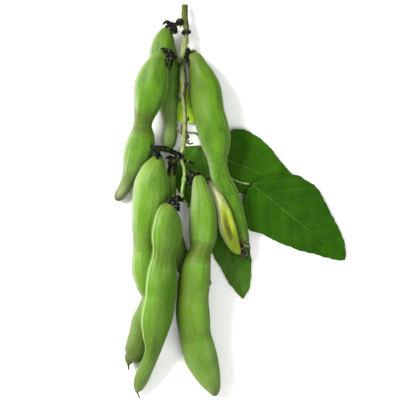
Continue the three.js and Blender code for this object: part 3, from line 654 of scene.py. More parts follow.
# %% Tree helpers
def geometry_tree(name, sockets):
    """An empty geometry tree with named inputs, and the sockets that give them."""
    tree = bpy.data.node_groups.new(name, "GeometryNodeTree")
    tree.interface.new_socket("Geometry", in_out="INPUT", socket_type="NodeSocketGeometry")
    tree.interface.new_socket("Geometry", in_out="OUTPUT", socket_type="NodeSocketGeometry")
    for label, kind in sockets.items():
        tree.interface.new_socket(label, in_out="INPUT", socket_type=f"NodeSocket{kind}")
    return tree, node(tree, "NodeGroupInput").outputs


def end_tree(tree, geometry, material):
    """The last steps of a tree: real faces, with a material."""
    real = result(tree, "GeometryNodeRealizeInstances", {"Geometry": geometry})
    smooth = result(tree, "GeometryNodeSetShadeSmooth", {"Geometry": real})
    dressed = result(tree, "GeometryNodeSetMaterial", {"Geometry": smooth, "Material": material})
    node(tree, "NodeGroupOutput", {"Geometry": dressed})


def grown(name, start, tree, values):
    """Runs a tree on an object with these inputs, and gives the result as a new plain mesh object."""
    modifier = start.modifiers.new("grow", "NODES")
    modifier.node_group = tree
    for item in tree.interface.items_tree:
        if item.in_out == "INPUT" and item.name in values:
            modifier[item.identifier] = values[item.name]
    depsgraph = bpy.context.evaluated_depsgraph_get()
    mesh = bpy.data.meshes.new_from_object(start.evaluated_get(depsgraph), depsgraph=depsgraph)
    start.modifiers.clear()
    return linked(name, mesh)


def named(tree, name):
    """The number that a mesh stores for its points under a name."""
    return result(tree, "GeometryNodeInputNamedAttribute", {"Name": name}, data_type="FLOAT")


def scaled(tree, vector, factor):
    """A vector times a number."""
    return result(tree, "ShaderNodeVectorMath", {0: vector, 3: factor}, operation="SCALE")


def wobble(tree, geometry, scale, depth):
    """Moves a geometry's points out and in along their normals by a noise, depth metres at the most."""
    pattern = noise(tree, result(tree, "GeometryNodeInputPosition"), scale)
    amount = times(tree, spread(tree, pattern, 0.25, 0.75, -1, 1), depth)
    offset = scaled(tree, result(tree, "GeometryNodeInputNormal"), amount)
    return result(tree, "GeometryNodeSetPosition", {"Geometry": geometry, "Offset": offset})


# %% A tree that sweeps a stalk along a line
stalk_tree, given = geometry_tree(
    "stalk", {"Sides": "Int", "Step": "Float", "Grain": "Float", "Relief": "Float", "Material": "Material"}
)
line = result(stalk_tree, "GeometryNodeMeshToCurve", {"Mesh": given["Geometry"]})
line = result(stalk_tree, "GeometryNodeCurveSplineType", {"Curve": line}, spline_type="CATMULL_ROM")
line = result(stalk_tree, "GeometryNodeResampleCurve", {"Curve": line, "Length": given["Step"]}, mode="LENGTH")
ring = result(stalk_tree, "GeometryNodeCurvePrimitiveCircle", {"Resolution": given["Sides"], "Radius": 1.0})
parts = {"Curve": line, "Profile Curve": ring, "Scale": named(stalk_tree, "thickness"), "Fill Caps": True}
tube = result(stalk_tree, "GeometryNodeCurveToMesh", parts)
end_tree(stalk_tree, wobble(stalk_tree, tube, given["Grain"], given["Relief"]), given["Material"])


# %% A tree that sets knobs on points
knob_tree, given = geometry_tree("knobs", {"Grain": "Float", "Relief": "Float", "Material": "Material"})
ball = result(knob_tree, "GeometryNodeMeshIcoSphere", {"Radius": 1.0, "Subdivisions": 4})
parts = {"Points": given["Geometry"], "Instance": ball, "Scale": named(knob_tree, "thickness")}
knobs = result(knob_tree, "GeometryNodeInstanceOnPoints", parts)
knobs = result(knob_tree, "GeometryNodeRealizeInstances", {"Geometry": knobs})
end_tree(knob_tree, wobble(knob_tree, knobs, given["Grain"], given["Relief"]), given["Material"])


# %% A tree that plants hairs
down_tree, given = geometry_tree(
    "down",
    {
        "Density": "Float", "Length": "Float", "Radius": "Float", "Lowest": "Float",
        "Lean": "Vector", "Stray": "Float", "Seed": "Int", "Material": "Material",
    },
)
place = result(down_tree, "GeometryNodeInputPosition")
height = node(down_tree, "ShaderNodeSeparateXYZ", {"Vector": place}).outputs["Z"]
clear = number(down_tree, "GREATER_THAN", height, given["Lowest"])
hairless = number(down_tree, "MAXIMUM", named(down_tree, "fresh"), named(down_tree, "bare"))
density = times(down_tree, given["Density"], number(down_tree, "SUBTRACT", 1.0, hairless))
roots = node(
    down_tree,
    "GeometryNodeDistributePointsOnFaces",
    {"Mesh": given["Geometry"], "Selection": clear, "Density": density, "Seed": given["Seed"]},
).outputs
either_way = {0: (-1, -1, -1), 1: (1, 1, 1), 8: given["Seed"]}
stray = result(down_tree, "FunctionNodeRandomValue", either_way, data_type="FLOAT_VECTOR")
aim = scaled(down_tree, stray, given["Stray"])
for pull in (given["Lean"], roots["Normal"]):
    aim = result(down_tree, "ShaderNodeVectorMath", {0: pull, 1: aim}, operation="ADD")
hair = node(
    down_tree,
    "GeometryNodeMeshCone",
    {"Vertices": 3, "Radius Top": 0.0, "Radius Bottom": given["Radius"], "Depth": given["Length"]},
    fill_type="NGON",
).outputs["Mesh"]
growth = node(down_tree, "FunctionNodeRandomValue", {2: 0.5, 3: 1.2, 8: given["Seed"]}, data_type="FLOAT").outputs[1]
parts = {
    "Points": roots["Points"],
    "Instance": hair,
    "Rotation": result(down_tree, "FunctionNodeAlignRotationToVector", {"Vector": aim}, axis="Z"),
    "Scale": growth,
}
end_tree(down_tree, result(down_tree, "GeometryNodeInstanceOnPoints", parts), given["Material"])
print("trees:", [t.name for t in bpy.data.node_groups])

# %% [markdown]
# ## The skin's finish
#
# The skin is a fresh green in soft patches, streaked along the pod, and paler and yellower on a young pod's full
# swellings. The seams are pale with a darker line on each side, and some have browned. Where a pod narrows it shows
# olive specks, and its neck and tip are olive too. Light and shade are painted into the colour as well. The side that
# faces left, towards the key lamp, is painted paler as a painted highlight, with a grey painted sheen along its rim.
# The side that faces right is painted a deeper green as painted shade, with a paler painted rim light at its edge. A
# left flank that a neighbour lies over gets a painted shadow tinted olive, and fine creases are painted darker as
# painted shade. The patterns are drawn on the pod's own unrolled skin, in millimetres, so that they follow its bends.


# %% Patterns on the unrolled skin
def skin_noise(tree, across, along, detail, roughness):
    """A noise on the skin's own measure, with its own scale round the pod and along it."""
    own = node(tree, "ShaderNodeAttribute", attribute_name="own").outputs["Vector"]
    return noise(tree, stretched(tree, own, across, across, along), 1.0, detail, roughness)


skin_material, tree, shader, _ = new_material(
    "pod_skin", Roughness=0.42, Specular_IOR_Level=0.13,
    Sheen_Weight=0.08, Sheen_Roughness=0.4, Sheen_Tint=(0.85, 0.95, 0.45, 1),
)
patches = skin_noise(tree, 0.16, 0.07, 3.0, 0.55)
streaks = skin_noise(tree, 0.9, 0.05, 4.0, 0.6)
mottle = skin_noise(tree, 0.8, 0.5, 4.0, 0.65)
grain = skin_noise(tree, 3.2, 2.0, 3.0, 0.65)
wrinkles = skin_noise(tree, 0.35, 2.4, 3.0, 0.6)
ripe = skin_noise(tree, 0.24, 0.11, 2.0, 0.5)
dots = skin_noise(tree, 1.7, 1.7, 2.0, 0.5)
scabs = skin_noise(tree, 0.8, 0.55, 2.0, 0.7)

# %% How strongly each mark shows
own_tone, leftward, seam, unhighlighted = (painted(tree, key) for key in ("tone", "leftward", "seam", "unhighlighted"))
aged, waist, olive_and_shade, faded, tip = (painted(tree, key) for key in ("aged", "waist", "olive_and_shade", "faded", "tip"))
tone = plus(tree, own_tone, shifted(tree, patches, 0.34), shifted(tree, streaks, 0.08), shifted(tree, mottle, 0.12))
# Painted highlight: the skin that faces left, towards the key lamp, is painted paler. It is stronger on fresh pods,
# mottled, and weaker where the highlight is held back.
painted_highlight = times(
    tree,
    spread(tree, leftward, 0.4, 0.98),
    spread(tree, mottle, 0.3, 0.7, 0.35, 0.8),
    spread(tree, own_tone, 0.3, 0.85, 0.6, 1.15),
    spread(tree, unhighlighted, 0.0, 1.0, 1.0, 0.1),
)
# Painted sheen: a pale grey rim along the edge that faces left, where the down would catch the key lamp. It is weaker
# on the seams and absent where the painted highlight is held back.
rim = times(
    tree,
    spread(tree, leftward, 0.62, 0.97, 0.0, 0.8),
    spread(tree, seam, 0.2, 1.0, 1.0, 0.4),
    spread(tree, unhighlighted, 0.0, 0.3, 1.0, 0.0),
)
# Painted shade: the skin that faces right, away from the key lamp, is painted a deeper green, more so where it has
# aged. Its very edge gets a paler painted rim light.
shady = spread(tree, leftward, -0.3, -0.9, 0.0, 0.5)
shady = plus(tree, shady, times(tree, aged, shady))
far_rim = spread(tree, leftward, -0.84, -0.98, 0.0, 0.6)
# Painted shade: fine creases are painted darker where the pod narrows or has aged.
crease_shade = plus(tree, number(tree, "MAXIMUM", waist, aged), 0.15)
crease_shade = times(tree, crease_shade, spread(tree, wrinkles, 0.5, 0.62, 0.0, 0.4))
olive = times(tree, waist, spread(tree, grain, 0.4, 0.62, 0.3, 1.0), 0.8)
dotted = number(tree, "MAXIMUM", waist, times(tree, aged, 0.5))
dotted = times(tree, dotted, spread(tree, dots, 0.53, 0.62, 0.0, 0.6))
dry = times(tree, painted(tree, "dryness"), spread(tree, mottle, 0.3, 0.7, 0.5, 1.0), 0.8)
flank = number(tree, "PINGPONG", number(tree, "MINIMUM", seam, 0.8), 0.4)
seam_tint = mixed(tree, painted(tree, "browned"), "8fa868", "3a3018")
crust = mixed(tree, spread(tree, scabs, 0.54, 0.62), "040503", "848f5e")
ragged = number(tree, "SUBTRACT", painted(tree, "withered"), spread(tree, grain, 0.3, 0.7, 0.0, 0.8))

# %% The skin's colour, one layer over the other
green = layered(
    tree,
    mixed(tree, spread(tree, tone, 0.0, 0.5), "294c05", "40680a"),
    (spread(tree, tone, 0.5, 1.0), "5b7d2d"),
    (spread(tree, grain, 0.55, 0.75, 0.0, 0.3), "728c3e"),
    (spread(tree, grain, 0.45, 0.3, 0.0, 0.22), "274506"),
    (spread(tree, ripe, 0.42, 0.62, 0.0, 0.55), "4c7606"),
    (painted_highlight, "89a25c"),
    (rim, "83897a"),
    # darker green, partly painted shade, where the painted highlight is held back
    (times(tree, unhighlighted, 0.8), "45661a"),
    (times(tree, olive_and_shade, 0.8), "3f5512"),
    (times(tree, aged, 0.9), "414f1f"),
    (shady, "366402"),
    (far_rim, "6d8048"),
    (crease_shade, "2f4410"),
    (times(tree, faded, 0.9), "77825c"),
    (olive, "3e4c12"),
    (dotted, "3a3a12"),
    (dry, "525326"),
    (times(tree, tip, 0.9), "201e0c"),
    (times(tree, flank, 0.6), "34500c"),
    (spread(tree, seam, 0.6, 1.0, 0.0, 0.62), seam_tint),
    (spread(tree, ragged, 0.0, 0.15), crust),
)
rough = plus(tree, times(tree, wrinkles, 0.5), grain, times(tree, streaks, 0.5))
finished(tree, shader, green, rough, strength=0.35, depth=0.3)
print("nodes in the skin's tree:", len(tree.nodes))

# %% [markdown]
# The young pod never filled. It is yellow with a dark streak where the seeds failed, and its edges have already
# turned to a pale papery grey-green, so it gets a finish of its own.

# %% Young pod's skin
young_material, tree, shader, place = new_material(
    "young_pod_skin", Roughness=0.6, Specular_IOR_Level=0.16,
    Sheen_Weight=0.12, Sheen_Roughness=0.4, Sheen_Tint=(0.9, 0.92, 0.7, 1),
)
patches = noise(tree, stretched(tree, place, 1.0, 0.3, 1.0), 260.0, 4.0, 0.6)
down_length = painted(tree, "share")
# Painted highlight: the edge that faces left, which a neighbour shades from the key lamp, is painted papery and paler.
lit_left_edge = spread(tree, painted(tree, "leftward"), 0.2, 0.65)
papery = layered(tree, mixed(tree, spread(tree, patches, 0.4, 0.6), "6f7848", "959b70"), (lit_left_edge, "c3c8a2"))
rim = number(tree, "SUBTRACT", 1.0, number(tree, "ABSOLUTE", painted(tree, "around")))
both_edges = number(tree, "MAXIMUM", lit_left_edge, spread(tree, rim, 0.6, 0.95, 0.0, 0.7))
core = times(
    tree,
    spread(tree, rim, 0.14, 0.0),
    spread(tree, down_length, 0.4, 0.6),
    spread(tree, down_length, 0.9, 0.78),
    spread(tree, patches, 0.34, 0.54),
)
yellow = layered(
    tree,
    mixed(tree, spread(tree, patches, 0.35, 0.65), "758414", "98a828"),
    (both_edges, papery),
    (spread(tree, down_length, 0.5, 0.24), papery),
    (spread(tree, down_length, 0.62, 0.9, 0.0, 0.75), "56690c"),
    (core, "353a04"),
)
finished(tree, shader, yellow, patches, strength=0.4, depth=0.3)
hair_material = new_material("pale_down", Base_Color="8ea55e", Roughness=0.6)[0]
print("pod finishes:", [m.name for m in (skin_material, young_material, hair_material)])

# %% Dress the pods and plant their down
HAIRS_PER_MM2 = 2.6
HAIR_LENGTH = 0.75
HAIR_RADIUS = 0.022
HAIR_LEAN = 0.7  # how far the hairs lean towards the pod's tip
HAIR_STRAY = 0.45


def planted(name, skin, density, length, radius, lean, stray, seed, material):
    """Hairs all over a skin, with their number on a square millimetre and their sizes in millimetres."""
    sizes = {"Density": density / MM**2, "Length": length * MM, "Radius": radius * MM, "Lowest": length * MM}
    return grown(name, skin, down_tree, {**sizes, "Lean": lean, "Stray": stray, "Seed": seed, "Material": material})


for seed, (name, pod) in enumerate(pods.items()):
    pod.data.materials.append(young_material if name == "young" else skin_material)
    ahead = PODS[name]["line"][-1] - PODS[name]["line"][0]
    lean = tuple(HAIR_LEAN * ahead / np.linalg.norm(ahead))
    sizes = HAIRS_PER_MM2, HAIR_LENGTH, HAIR_RADIUS
    down = planted(f"pod_{name}_down", pod, *sizes, lean, HAIR_STRAY, seed, hair_material)
    for piece in (pod, down):
        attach(piece, "root")
    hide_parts(f"pod_{name}")
    print(name, "hairs' faces:", len(down.data.polygons))

# %% [markdown]
# ## The dry husks
#
# The flower's calyx stays on the pod's top end as a small cup with five lobes. It has dried up black and ragged, with
# long shreds, loose fibres and grey streaks where its skin has come off. A sphere makes the cup: its upper half is the
# outside, and its lower half folds in to make the inside. The short stalk and the shreds are swept along their rows
# and joined to the cup, and the tree that plants hairs gives it its fibres.

# %% The husks' rows: a stalk, shreds, the lobes' reach as a share of the pod's length, and their turns in degrees
HUSKS = {
    "top_back": {
        "stalk": [
            [-26, 100.8, 4.8, 1.1], [-27.9, 100.5, 5, 2.3], [-30.3, 99.2, 5.6, 1], [-32.6, 98.9, 6.6, 1.8],
            [-34.2, 98.6, 6.6, 1.7],
        ],
        "shreds": [
            [[-33.2, 99.6, 7, 1.7], [-32.3, 97.8, 8, 2.3], [-31.1, 95.6, 8.6, 2.2], [-30.7, 93.9, 8.8, 1.1]],
            [[-33.4, 99.3, 7, 1.5], [-35.4, 100.6, 7.8, 1], [-37.7, 99.1, 7.4, 0.35]],
        ],
        "reach": 0.02, "turn": 10, "fuller": 10,
    },
    "top_left": {
        "stalk": [
            [-26.6, 77.4, 9.6, 1.3], [-29.4, 79.6, 12.8, 1.2], [-32.4, 82.2, 15.4, 1.3],
            [-34.6, 83.6, 16.3, 1.6],
        ],
        "shreds": [
            [[-34.4, 83.8, 17, 1.2], [-36.4, 84.8, 17.4, 0.8], [-38.6, 84.8, 17, 0.35]],
            [[-34, 82.8, 17, 1.2], [-33.9, 80, 18.2, 1], [-34.8, 77, 18.8, 0.6], [-34.4, 74.4, 18.6, 0.3]],
            [[-33, 82.2, 16.2, 1], [-32.2, 78.6, 16.2, 0.7], [-32.8, 75.2, 15.4, 0.45], [-33.3, 72.6, 15, 0.3]],
        ],
        "reach": 0.02, "turn": -20, "fuller": 0,
    },
    "middle_left": {
        "stalk": [
            [-27.4, 25.4, 11.6, 1.3], [-32, 27.6, 12.2, 1.4], [-36.8, 29.3, 12.9, 1.7], [-40.2, 29.1, 13, 1.9],
            [-40, 27, 12.7, 1.8],
        ],
        "shreds": [
            [[-39.8, 29.2, 13.2, 1.6], [-41.8, 30, 13.6, 1.4], [-43.8, 29.2, 13.4, 0.7]],
            [[-39.8, 27.8, 14, 1.1], [-40.3, 25.6, 15.2, 0.8], [-40.6, 23.6, 16.1, 0.35]],
        ],
        "reach": 0.006, "turn": 40, "fuller": 100,
    },
    "front_left": {
        "stalk": [
            [-26.9, 0.9, 12.6, 1.1], [-28.7, 1.4, 14.8, 1.3], [-31.2, 0.9, 17.2, 1.5], [-33.3, -0.3, 18.4, 1.7],
        ],
        "shreds": [
            [
                [-30.8, 0.8, 17.2, 1.4], [-29.6, -1.6, 17.4, 1.7], [-28.7, -3.8, 16.8, 1.2],
                [-28.4, -5.4, 16.2, 0.5],
            ],
            [[-30.4, 1, 17.4, 1.1], [-29, 2.6, 18, 0.8], [-27.2, 2.8, 17.8, 0.35]],
        ],
        "reach": 0.015, "turn": 10, "fuller": 5,
    },
    "front_right": {
        "stalk": [
            [-24.6, 12.6, 11.4, 1.1], [-22.6, 13.3, 11.9, 1.3], [-20.4, 14.7, 12.1, 1.4],
            [-18.2, 15.5, 12.1, 1.2],
        ],
        "shreds": [
            [[-21.2, 14.2, 12.8, 1.1], [-21.8, 12, 13.4, 0.8], [-21.5, 9.6, 13.2, 0.35]],
            [[-20.2, 15, 12.8, 1.1], [-21.6, 16.4, 13.3, 0.7], [-22.4, 17.6, 13, 0.3]],
        ],
        "reach": 0.006, "turn": 30, "fuller": 180,
    },
    "right": {
        "stalk": [[-24.6, 78.6, 8.8, 1.5], [-24, 81, 9.2, 1.7], [-23.4, 83.2, 9, 1.3], [-21.8, 84.3, 8.6, 1.2]],
        "shreds": [
            [[-23.6, 82.4, 9.8, 1.1], [-23.2, 84.6, 10.3, 0.8], [-22.9, 86, 10.2, 0.35]],
            [[-23.8, 80.8, 9.8, 1.1], [-22.6, 78, 10.8, 0.8], [-22.7, 75.2, 10.4, 0.4]],
        ],
        "reach": 0.006, "turn": 55, "fuller": 180,
    },
    "young": {
        "stalk": [
            [-24.9, 10, 10.6, 0.9], [-22.4, 9.8, 8, 0.8], [-18, 10.4, 6.2, 0.8], [-14.6, 11.8, 6.1, 0.9],
            [-12.6, 12.2, 7.4, 1],
        ],
        "shreds": [],
        "reach": 0.05, "turn": 0, "fuller": 150,
    },
    "back": {
        "stalk": [[-27.4, 22.6, 9.6, 1.1], [-29.4, 23.6, 8.2, 1.1], [-31.6, 23.6, 6.9, 1.4]],
        "shreds": [
            [[-31.2, 23.6, 7.8, 1.3], [-33.4, 24.6, 9.2, 1.2], [-35.4, 24.2, 10, 0.6]],
            [[-32, 22.8, 8, 1.2], [-33.2, 19.8, 8.9, 1], [-33.7, 16.6, 8.7, 0.6], [-33.5, 14.2, 8.4, 0.3]],
            [[-31, 22.8, 7.8, 1.1], [-30.3, 19.8, 8.6, 0.9], [-30.5, 16.8, 8.2, 0.6], [-30.8, 14.4, 7.8, 0.3]],
        ],
        "reach": 0.03, "turn": 25, "fuller": 70,
    },
}

# %% Husk finishes
husk_material, tree, shader, place = new_material("dry_husk", Roughness=0.85, Specular_IOR_Level=0.06)
streaks = noise(tree, stretched(tree, place, 1.0, 0.35, 1.0), 900.0, 4.0, 0.65)
flakes = noise(tree, place, 1500.0, 3.0, 0.6)
loose = times(tree, spread(tree, streaks, 0.6, 0.66), spread(tree, flakes, 0.42, 0.55))
dark = layered(
    tree,
    mixed(tree, spread(tree, flakes, 0.4, 0.7), "050703", "141b09"),
    (painted(tree, "fresh"), "565b34"),
    (loose, "5f6c4c"),
)
finished(tree, shader, dark, streaks, strength=0.7, depth=0.6)
dark_fibre = new_material("dark_fibre", Base_Color="0b0d07", Roughness=0.8)[0]
pale_fibre = new_material("pale_fibre", Base_Color="98a284", Roughness=0.8)[0]
print("husk finishes:", [m.name for m in (husk_material, dark_fibre, pale_fibre)])


# %% Helpers for swept and joined pieces
STEP = 0.3  # the length in millimetres of one step along a swept stalk


def line_object(name, lines):
    """A mesh of loose lines from rows of x, y, z and thickness, for a tree to sweep."""
    rows = np.array([row for line in lines for row in line], float)
    starts = np.cumsum([0] + [len(line) for line in lines])
    edges = [(k, k + 1) for a, b in zip(starts, starts[1:]) for k in range(a, b - 1)]
    mesh = bpy.data.meshes.new(name)
    mesh.from_pydata((rows[:, :3] * MM).tolist(), edges, [])
    stored(mesh, "thickness", rows[:, 3] * MM)
    return linked(name, mesh)


def removed(thing):
    """Takes an object and its mesh out of the file."""
    mesh = thing.data
    bpy.data.objects.remove(thing)
    bpy.data.meshes.remove(mesh)


def swept(name, lines, material, sides, grain, relief):
    """Stalks along rows of x, y, z and thickness, as one mesh object."""
    start = line_object(name + "_lines", lines)
    values = {"Sides": sides, "Step": STEP * MM, "Grain": grain, "Relief": relief * MM, "Material": material}
    made = grown(name, start, stalk_tree, values)
    removed(start)
    return made


def joined(name, pieces):
    """One mesh object from several, which all have the same one material."""
    bm = bmesh.new()
    for piece in pieces:
        bm.from_mesh(piece.data)
    mesh = bpy.data.meshes.new(name)
    bm.to_mesh(mesh)
    bm.free()
    mesh.materials.append(pieces[0].data.materials[0])
    mesh.shade_smooth()
    for piece in pieces:
        removed(piece)
    return linked(name, mesh)


def painted_near(piece, name, spots):
    """Stores how close each point is to the nearest of some spots given as x, y, z and reach."""
    points = at_points(piece.data, "co") / MM
    closeness = np.zeros(len(points))
    for *spot, reach in spots:
        distance = np.linalg.norm(points - spot, axis=1)
        closeness = np.maximum(closeness, np.clip(1.5 - distance / reach, 0, 1))
    stored(piece.data, name, closeness)


# %% Shape the husks
HUSK_SIDES = 120
HUSK_RINGS = 40
SEPALS = 5
CUP_SHARE = 0.4  # the share of a husk's reach that is closed all round
CUP_CLEARANCE = 0.55
CUP_WALL = 0.45
INNER_WALL = 0.55  # how far the cup's inside stands off, as a share of its wall
CUP_CURL = 0.5
CUP_CRUMPLE = 0.16
TORN_EDGE = 0.16
FULLER_SIDE = 0.85  # how much further the lobes reach on a husk's fuller side
FIBRE_LEAN, FIBRE_STRAY = (0.0, -0.6, 0.2), 1.2
# Where a husk's stalk is still olive, as x, y, z and reach
FRESH_STALKS = {
    "top_left": [[-28.6, 79, 12, 2.4]],
    "right": [[-20, 85, 9.4, 2.2]],
    "back": [[-31.4, 22.8, 8.6, 1.2]],
}
SHAGGY = {"middle_left": 0.6, "front_right": 0.4, "right": 0.6}  # the share of the fibres that a smoother husk has
FIBRES = [  # material, fibres on a square millimetre, length and radius
    (dark_fibre, 1.0, 1.9, 0.13),
    (pale_fibre, 0.2, 2.3, 0.12),
]

even_turns = np.linspace(0, 2 * math.pi, HUSK_SIDES, endpoint=False)
inwards, around = np.meshgrid(np.linspace(0, 1, HUSK_RINGS + 1), even_turns, indexing="ij")
outside = inwards < 0.5
fold = np.where(outside, 2 * inwards, 2 * (1 - inwards))
lobe = np.abs(np.sin(SEPALS * around / 2))
for seed, (name, husk) in enumerate(HUSKS.items()):
    uneven = 1 + FULLER_SIDE * np.cos(around + math.radians(husk["turn"] - husk["fuller"]))
    torn = 1 - TORN_EDGE * np.abs(ripple(40 + seed, 0 * around, around, waves=40, longest=1.0))
    share = husk["reach"] * fold * uneven * torn * (CUP_SHARE + (1 - CUP_SHARE) * lobe)
    wall = np.where(outside, CUP_WALL * (2 - fold), INNER_WALL * CUP_WALL)
    curl = CUP_CURL * lobe * uneven * fold**3
    angle = around + math.radians(husk["turn"])
    points = pod_points(PODS[name], share, angle, CUP_CLEARANCE + wall + curl)[0]
    crumple = ripple(60 + seed, 30 * share / husk["reach"], around, waves=18, longest=14.0)
    points = pushed_out(points, CUP_CRUMPLE * fold * crumple * np.where(outside, 1, -1))
    cup = closed_skin(f"cup_{name}", points, {})
    cup.data.materials.append(husk_material)
    parts = [cup, swept(f"husk_stalk_{name}", [husk["stalk"]], husk_material, sides=20, grain=900.0, relief=0.35)]
    if husk["shreds"]:
        shreds = swept(f"husk_shreds_{name}", husk["shreds"], husk_material, sides=16, grain=1100.0, relief=0.25)
        parts.append(shreds)
    piece = joined(f"husk_{name}_dry", parts)
    painted_near(piece, "fresh", FRESH_STALKS.get(name, []))
    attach(piece, "root")
    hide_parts(f"husk_{name}")
    for layer, (material, density, *sizes) in enumerate(FIBRES):
        sizes = SHAGGY.get(name, 1.0) * density, *sizes
        manner = FIBRE_LEAN, FIBRE_STRAY, 10 * layer + seed, material
        fibres = planted(f"husk_{name}_fibres_{layer}", piece, *sizes, *manner)
        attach(fibres, "root")
    print(name, "husk faces:", len(piece.data.polygons))

# %% [markdown]
# ## The stem
#
# The stem is the axis that bore the flowers. It is olive at its cut end and pale grey-green below, it swells at every
# place where a flower sat, and each dropped flower has left a dark corky scar. Its right side, away from the key lamp,
# is painted dark as painted shade, broken up with specks. A stalk is swept along its rows, small rough knobs are set
# where the scars stand out, and the closeness of scars and nodes is painted on the points for the finish.

# %% The stem's rows: x, y, z and the radius
STEM = [
    [-24.9, 110.5, 3.2, 1.8], [-25.2, 106.1, 3.8, 1.8], [-24.9, 101.6, 4.6, 1.8], [-24.2, 97.1, 5.4, 1.6],
    [-24.3, 92.1, 6.2, 1.4], [-25.2, 87, 7.2, 1.8], [-26, 81.4, 8, 2], [-26.3, 76.4, 8.6, 2.1],
    [-26, 70.8, 9, 2.1], [-26, 63.5, 9.4, 2], [-26, 57.9, 9.6, 1.7], [-25.2, 52.3, 9.8, 1.2],
    [-24.9, 46.1, 10, 1.3], [-25, 40.5, 10.2, 1.4], [-25.3, 34.9, 10.4, 1.5], [-26, 29.9, 10.6, 1.3],
    [-26.6, 24.9, 10.8, 1.6], [-25.8, 20.4, 10.9, 0.9], [-25.3, 16.5, 11, 0.9], [-25.5, 12, 11.2, 1.1],
    [-26.2, 6.9, 11.6, 0.9], [-26.5, 1.3, 12, 1.1],
]
KNOBS = [
    [-25.6, 94.7, 5.8, 1.3], [-22.9, 95, 6, 1.3], [-24.2, 65.7, 9.8, 1.1], [-27.7, 57.3, 9.9, 1.3],
    [-23.4, 46.1, 10.4, 1.2], [-23.6, 36.2, 10.6, 1.3], [-23.3, 33.8, 10.2, 0.9], [-24.8, 12.4, 11.3, 1.4],
]
TWIGS = [
    [[-25.4, 22.8, 10.8, 0.8], [-22.4, 22.2, 10.6, 0.8], [-19.9, 20.7, 10.4, 0.6]],
    [[-25, 33.6, 10.2, 0.6], [-22.4, 32.2, 8.6, 0.5], [-20.4, 32.6, 7.2, 0.45]],
    [[-26.4, 36.1, 10.2, 0.6], [-28.2, 38.6, 8.4, 0.5], [-29.4, 41.4, 7.4, 0.4]],
    [[-26.2, 35.2, 10, 0.6], [-26.9, 39, 6.8, 0.5], [-26.6, 43.4, 3.7, 0.45]],
    [[-26.4, 1.2, 12, 1], [-24.7, -0.7, 12.2, 0.9], [-23.4, -2.2, 12.2, 0.7]],
]
SCARS = [  # x, y, z and how far round it the bark is dark
    [-24.9, 94.8, 6, 2], [-22.9, 95, 6, 1.8], [-26, 100.5, 4.8, 1.5], [-24, 79.6, 9.8, 1.6], [-23.6, 65.7, 10, 1.3],
    [-28, 57.3, 10.2, 1.2], [-23, 46.1, 10.6, 1.2], [-23.4, 36, 10.6, 1.6], [-23.3, 38.6, 10.2, 1.2],
    [-27.4, 25.2, 11.4, 2], [-24.8, 22.4, 11, 1.4], [-21, 21.4, 10.5, 2.6], [-27, 0.9, 12.6, 1.6],
]
NODES = [  # olive brown places, in the same way
    [-27.6, 77.4, 10.4, 2.6], [-26.4, 99, 5.4, 2], [-26.6, 25, 12, 2.2], [-28.4, 39, 8.2, 2], [-26.8, 41, 5.2, 2.4],
]

# %% Stem finish
bark_material, tree, shader, place = new_material("stem_bark", Roughness=0.7, Specular_IOR_Level=0.15)
height = node(tree, "ShaderNodeSeparateXYZ", {"Vector": place}).outputs["Y"]
fibres = noise(tree, stretched(tree, place, 1.0, 0.15, 1.0), 1300.0, 4.0, 0.6)
corky = noise(tree, place, 1700.0, 3.0, 0.7)
fibrous = spread(tree, fibres, 0.35, 0.65)
fresh, olive = mixed(tree, fibrous, "5c763a", "7a9250"), mixed(tree, fibrous, "333a0e", "47511d")
scar = mixed(tree, spread(tree, corky, 0.4, 0.7), "040402", "15130b")
# Painted shade: the side of the stem that faces right is painted dark on its upper stretch and at its low end, broken
# up by corky specks.
upper_stretch = times(tree, spread(tree, height, 0.035, 0.058, 0.25, 1), spread(tree, height, 0.082, 0.074))
specked_shade = times(
    tree,
    number(tree, "MAXIMUM", upper_stretch, spread(tree, height, 0.01, 0.006, 0.0, 0.8)),
    spread(tree, corky, 0.35, 0.6, 0.4, 1.0),
    spread(tree, painted(tree, "rightward"), 0.0, 0.35),
)
knotted = times(tree, painted(tree, "node"), spread(tree, fibres, 0.3, 0.6, 0.5, 0.95))
scarred = plus(tree, painted(tree, "scar"), shifted(tree, corky, 0.35))
bark = layered(
    tree,
    mixed(tree, fibrous, "586436", "7e8a57"),
    (spread(tree, height, 0.03, 0.02), fresh),
    (spread(tree, height, 0.088, 0.1), olive),
    (specked_shade, "1f200f"),
    (knotted, "3a3718"),
    (spread(tree, scarred, 0.3, 0.6), scar),
)
finished(tree, shader, bark, fibres, strength=0.5, depth=0.4)
print("nodes in the bark's tree:", len(tree.nodes))


# %% Grow the stem
KNOB_GRAIN, KNOB_RELIEF = 700.0, 0.45
knob_points = line_object("knob_points", [[row] for row in KNOBS])
values = {"Grain": KNOB_GRAIN, "Relief": KNOB_RELIEF * MM, "Material": bark_material}
rough_knobs = grown("stem_knobs", knob_points, knob_tree, values)
removed(knob_points)
axis = swept("stem_axis", [STEM], bark_material, sides=36, grain=380.0, relief=0.3)
twigs = swept("stem_twigs", TWIGS, bark_material, sides=14, grain=800.0, relief=0.2)
stem = joined("stem_bark", [axis, twigs, rough_knobs])
painted_near(stem, "scar", SCARS)
painted_near(stem, "node", NODES)
stored(stem.data, "rightward", at_points(stem.data, "normal")[:, 0])
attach(stem, "root")
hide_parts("stem")
print("stem faces:", len(stem.data.polygons))

# %% [markdown]
# ## The leaf
#
# The leaf has a thin pale stalk that forks to three leaflets. A leaflet is a thin blade with a midrib and side veins
# that leave it at about 45 degrees, and the blade swells up a little between them. The points of a grid between its
# two edges make it, so that the veins follow its own length and width, and a fine sine of the same lines lifts it.

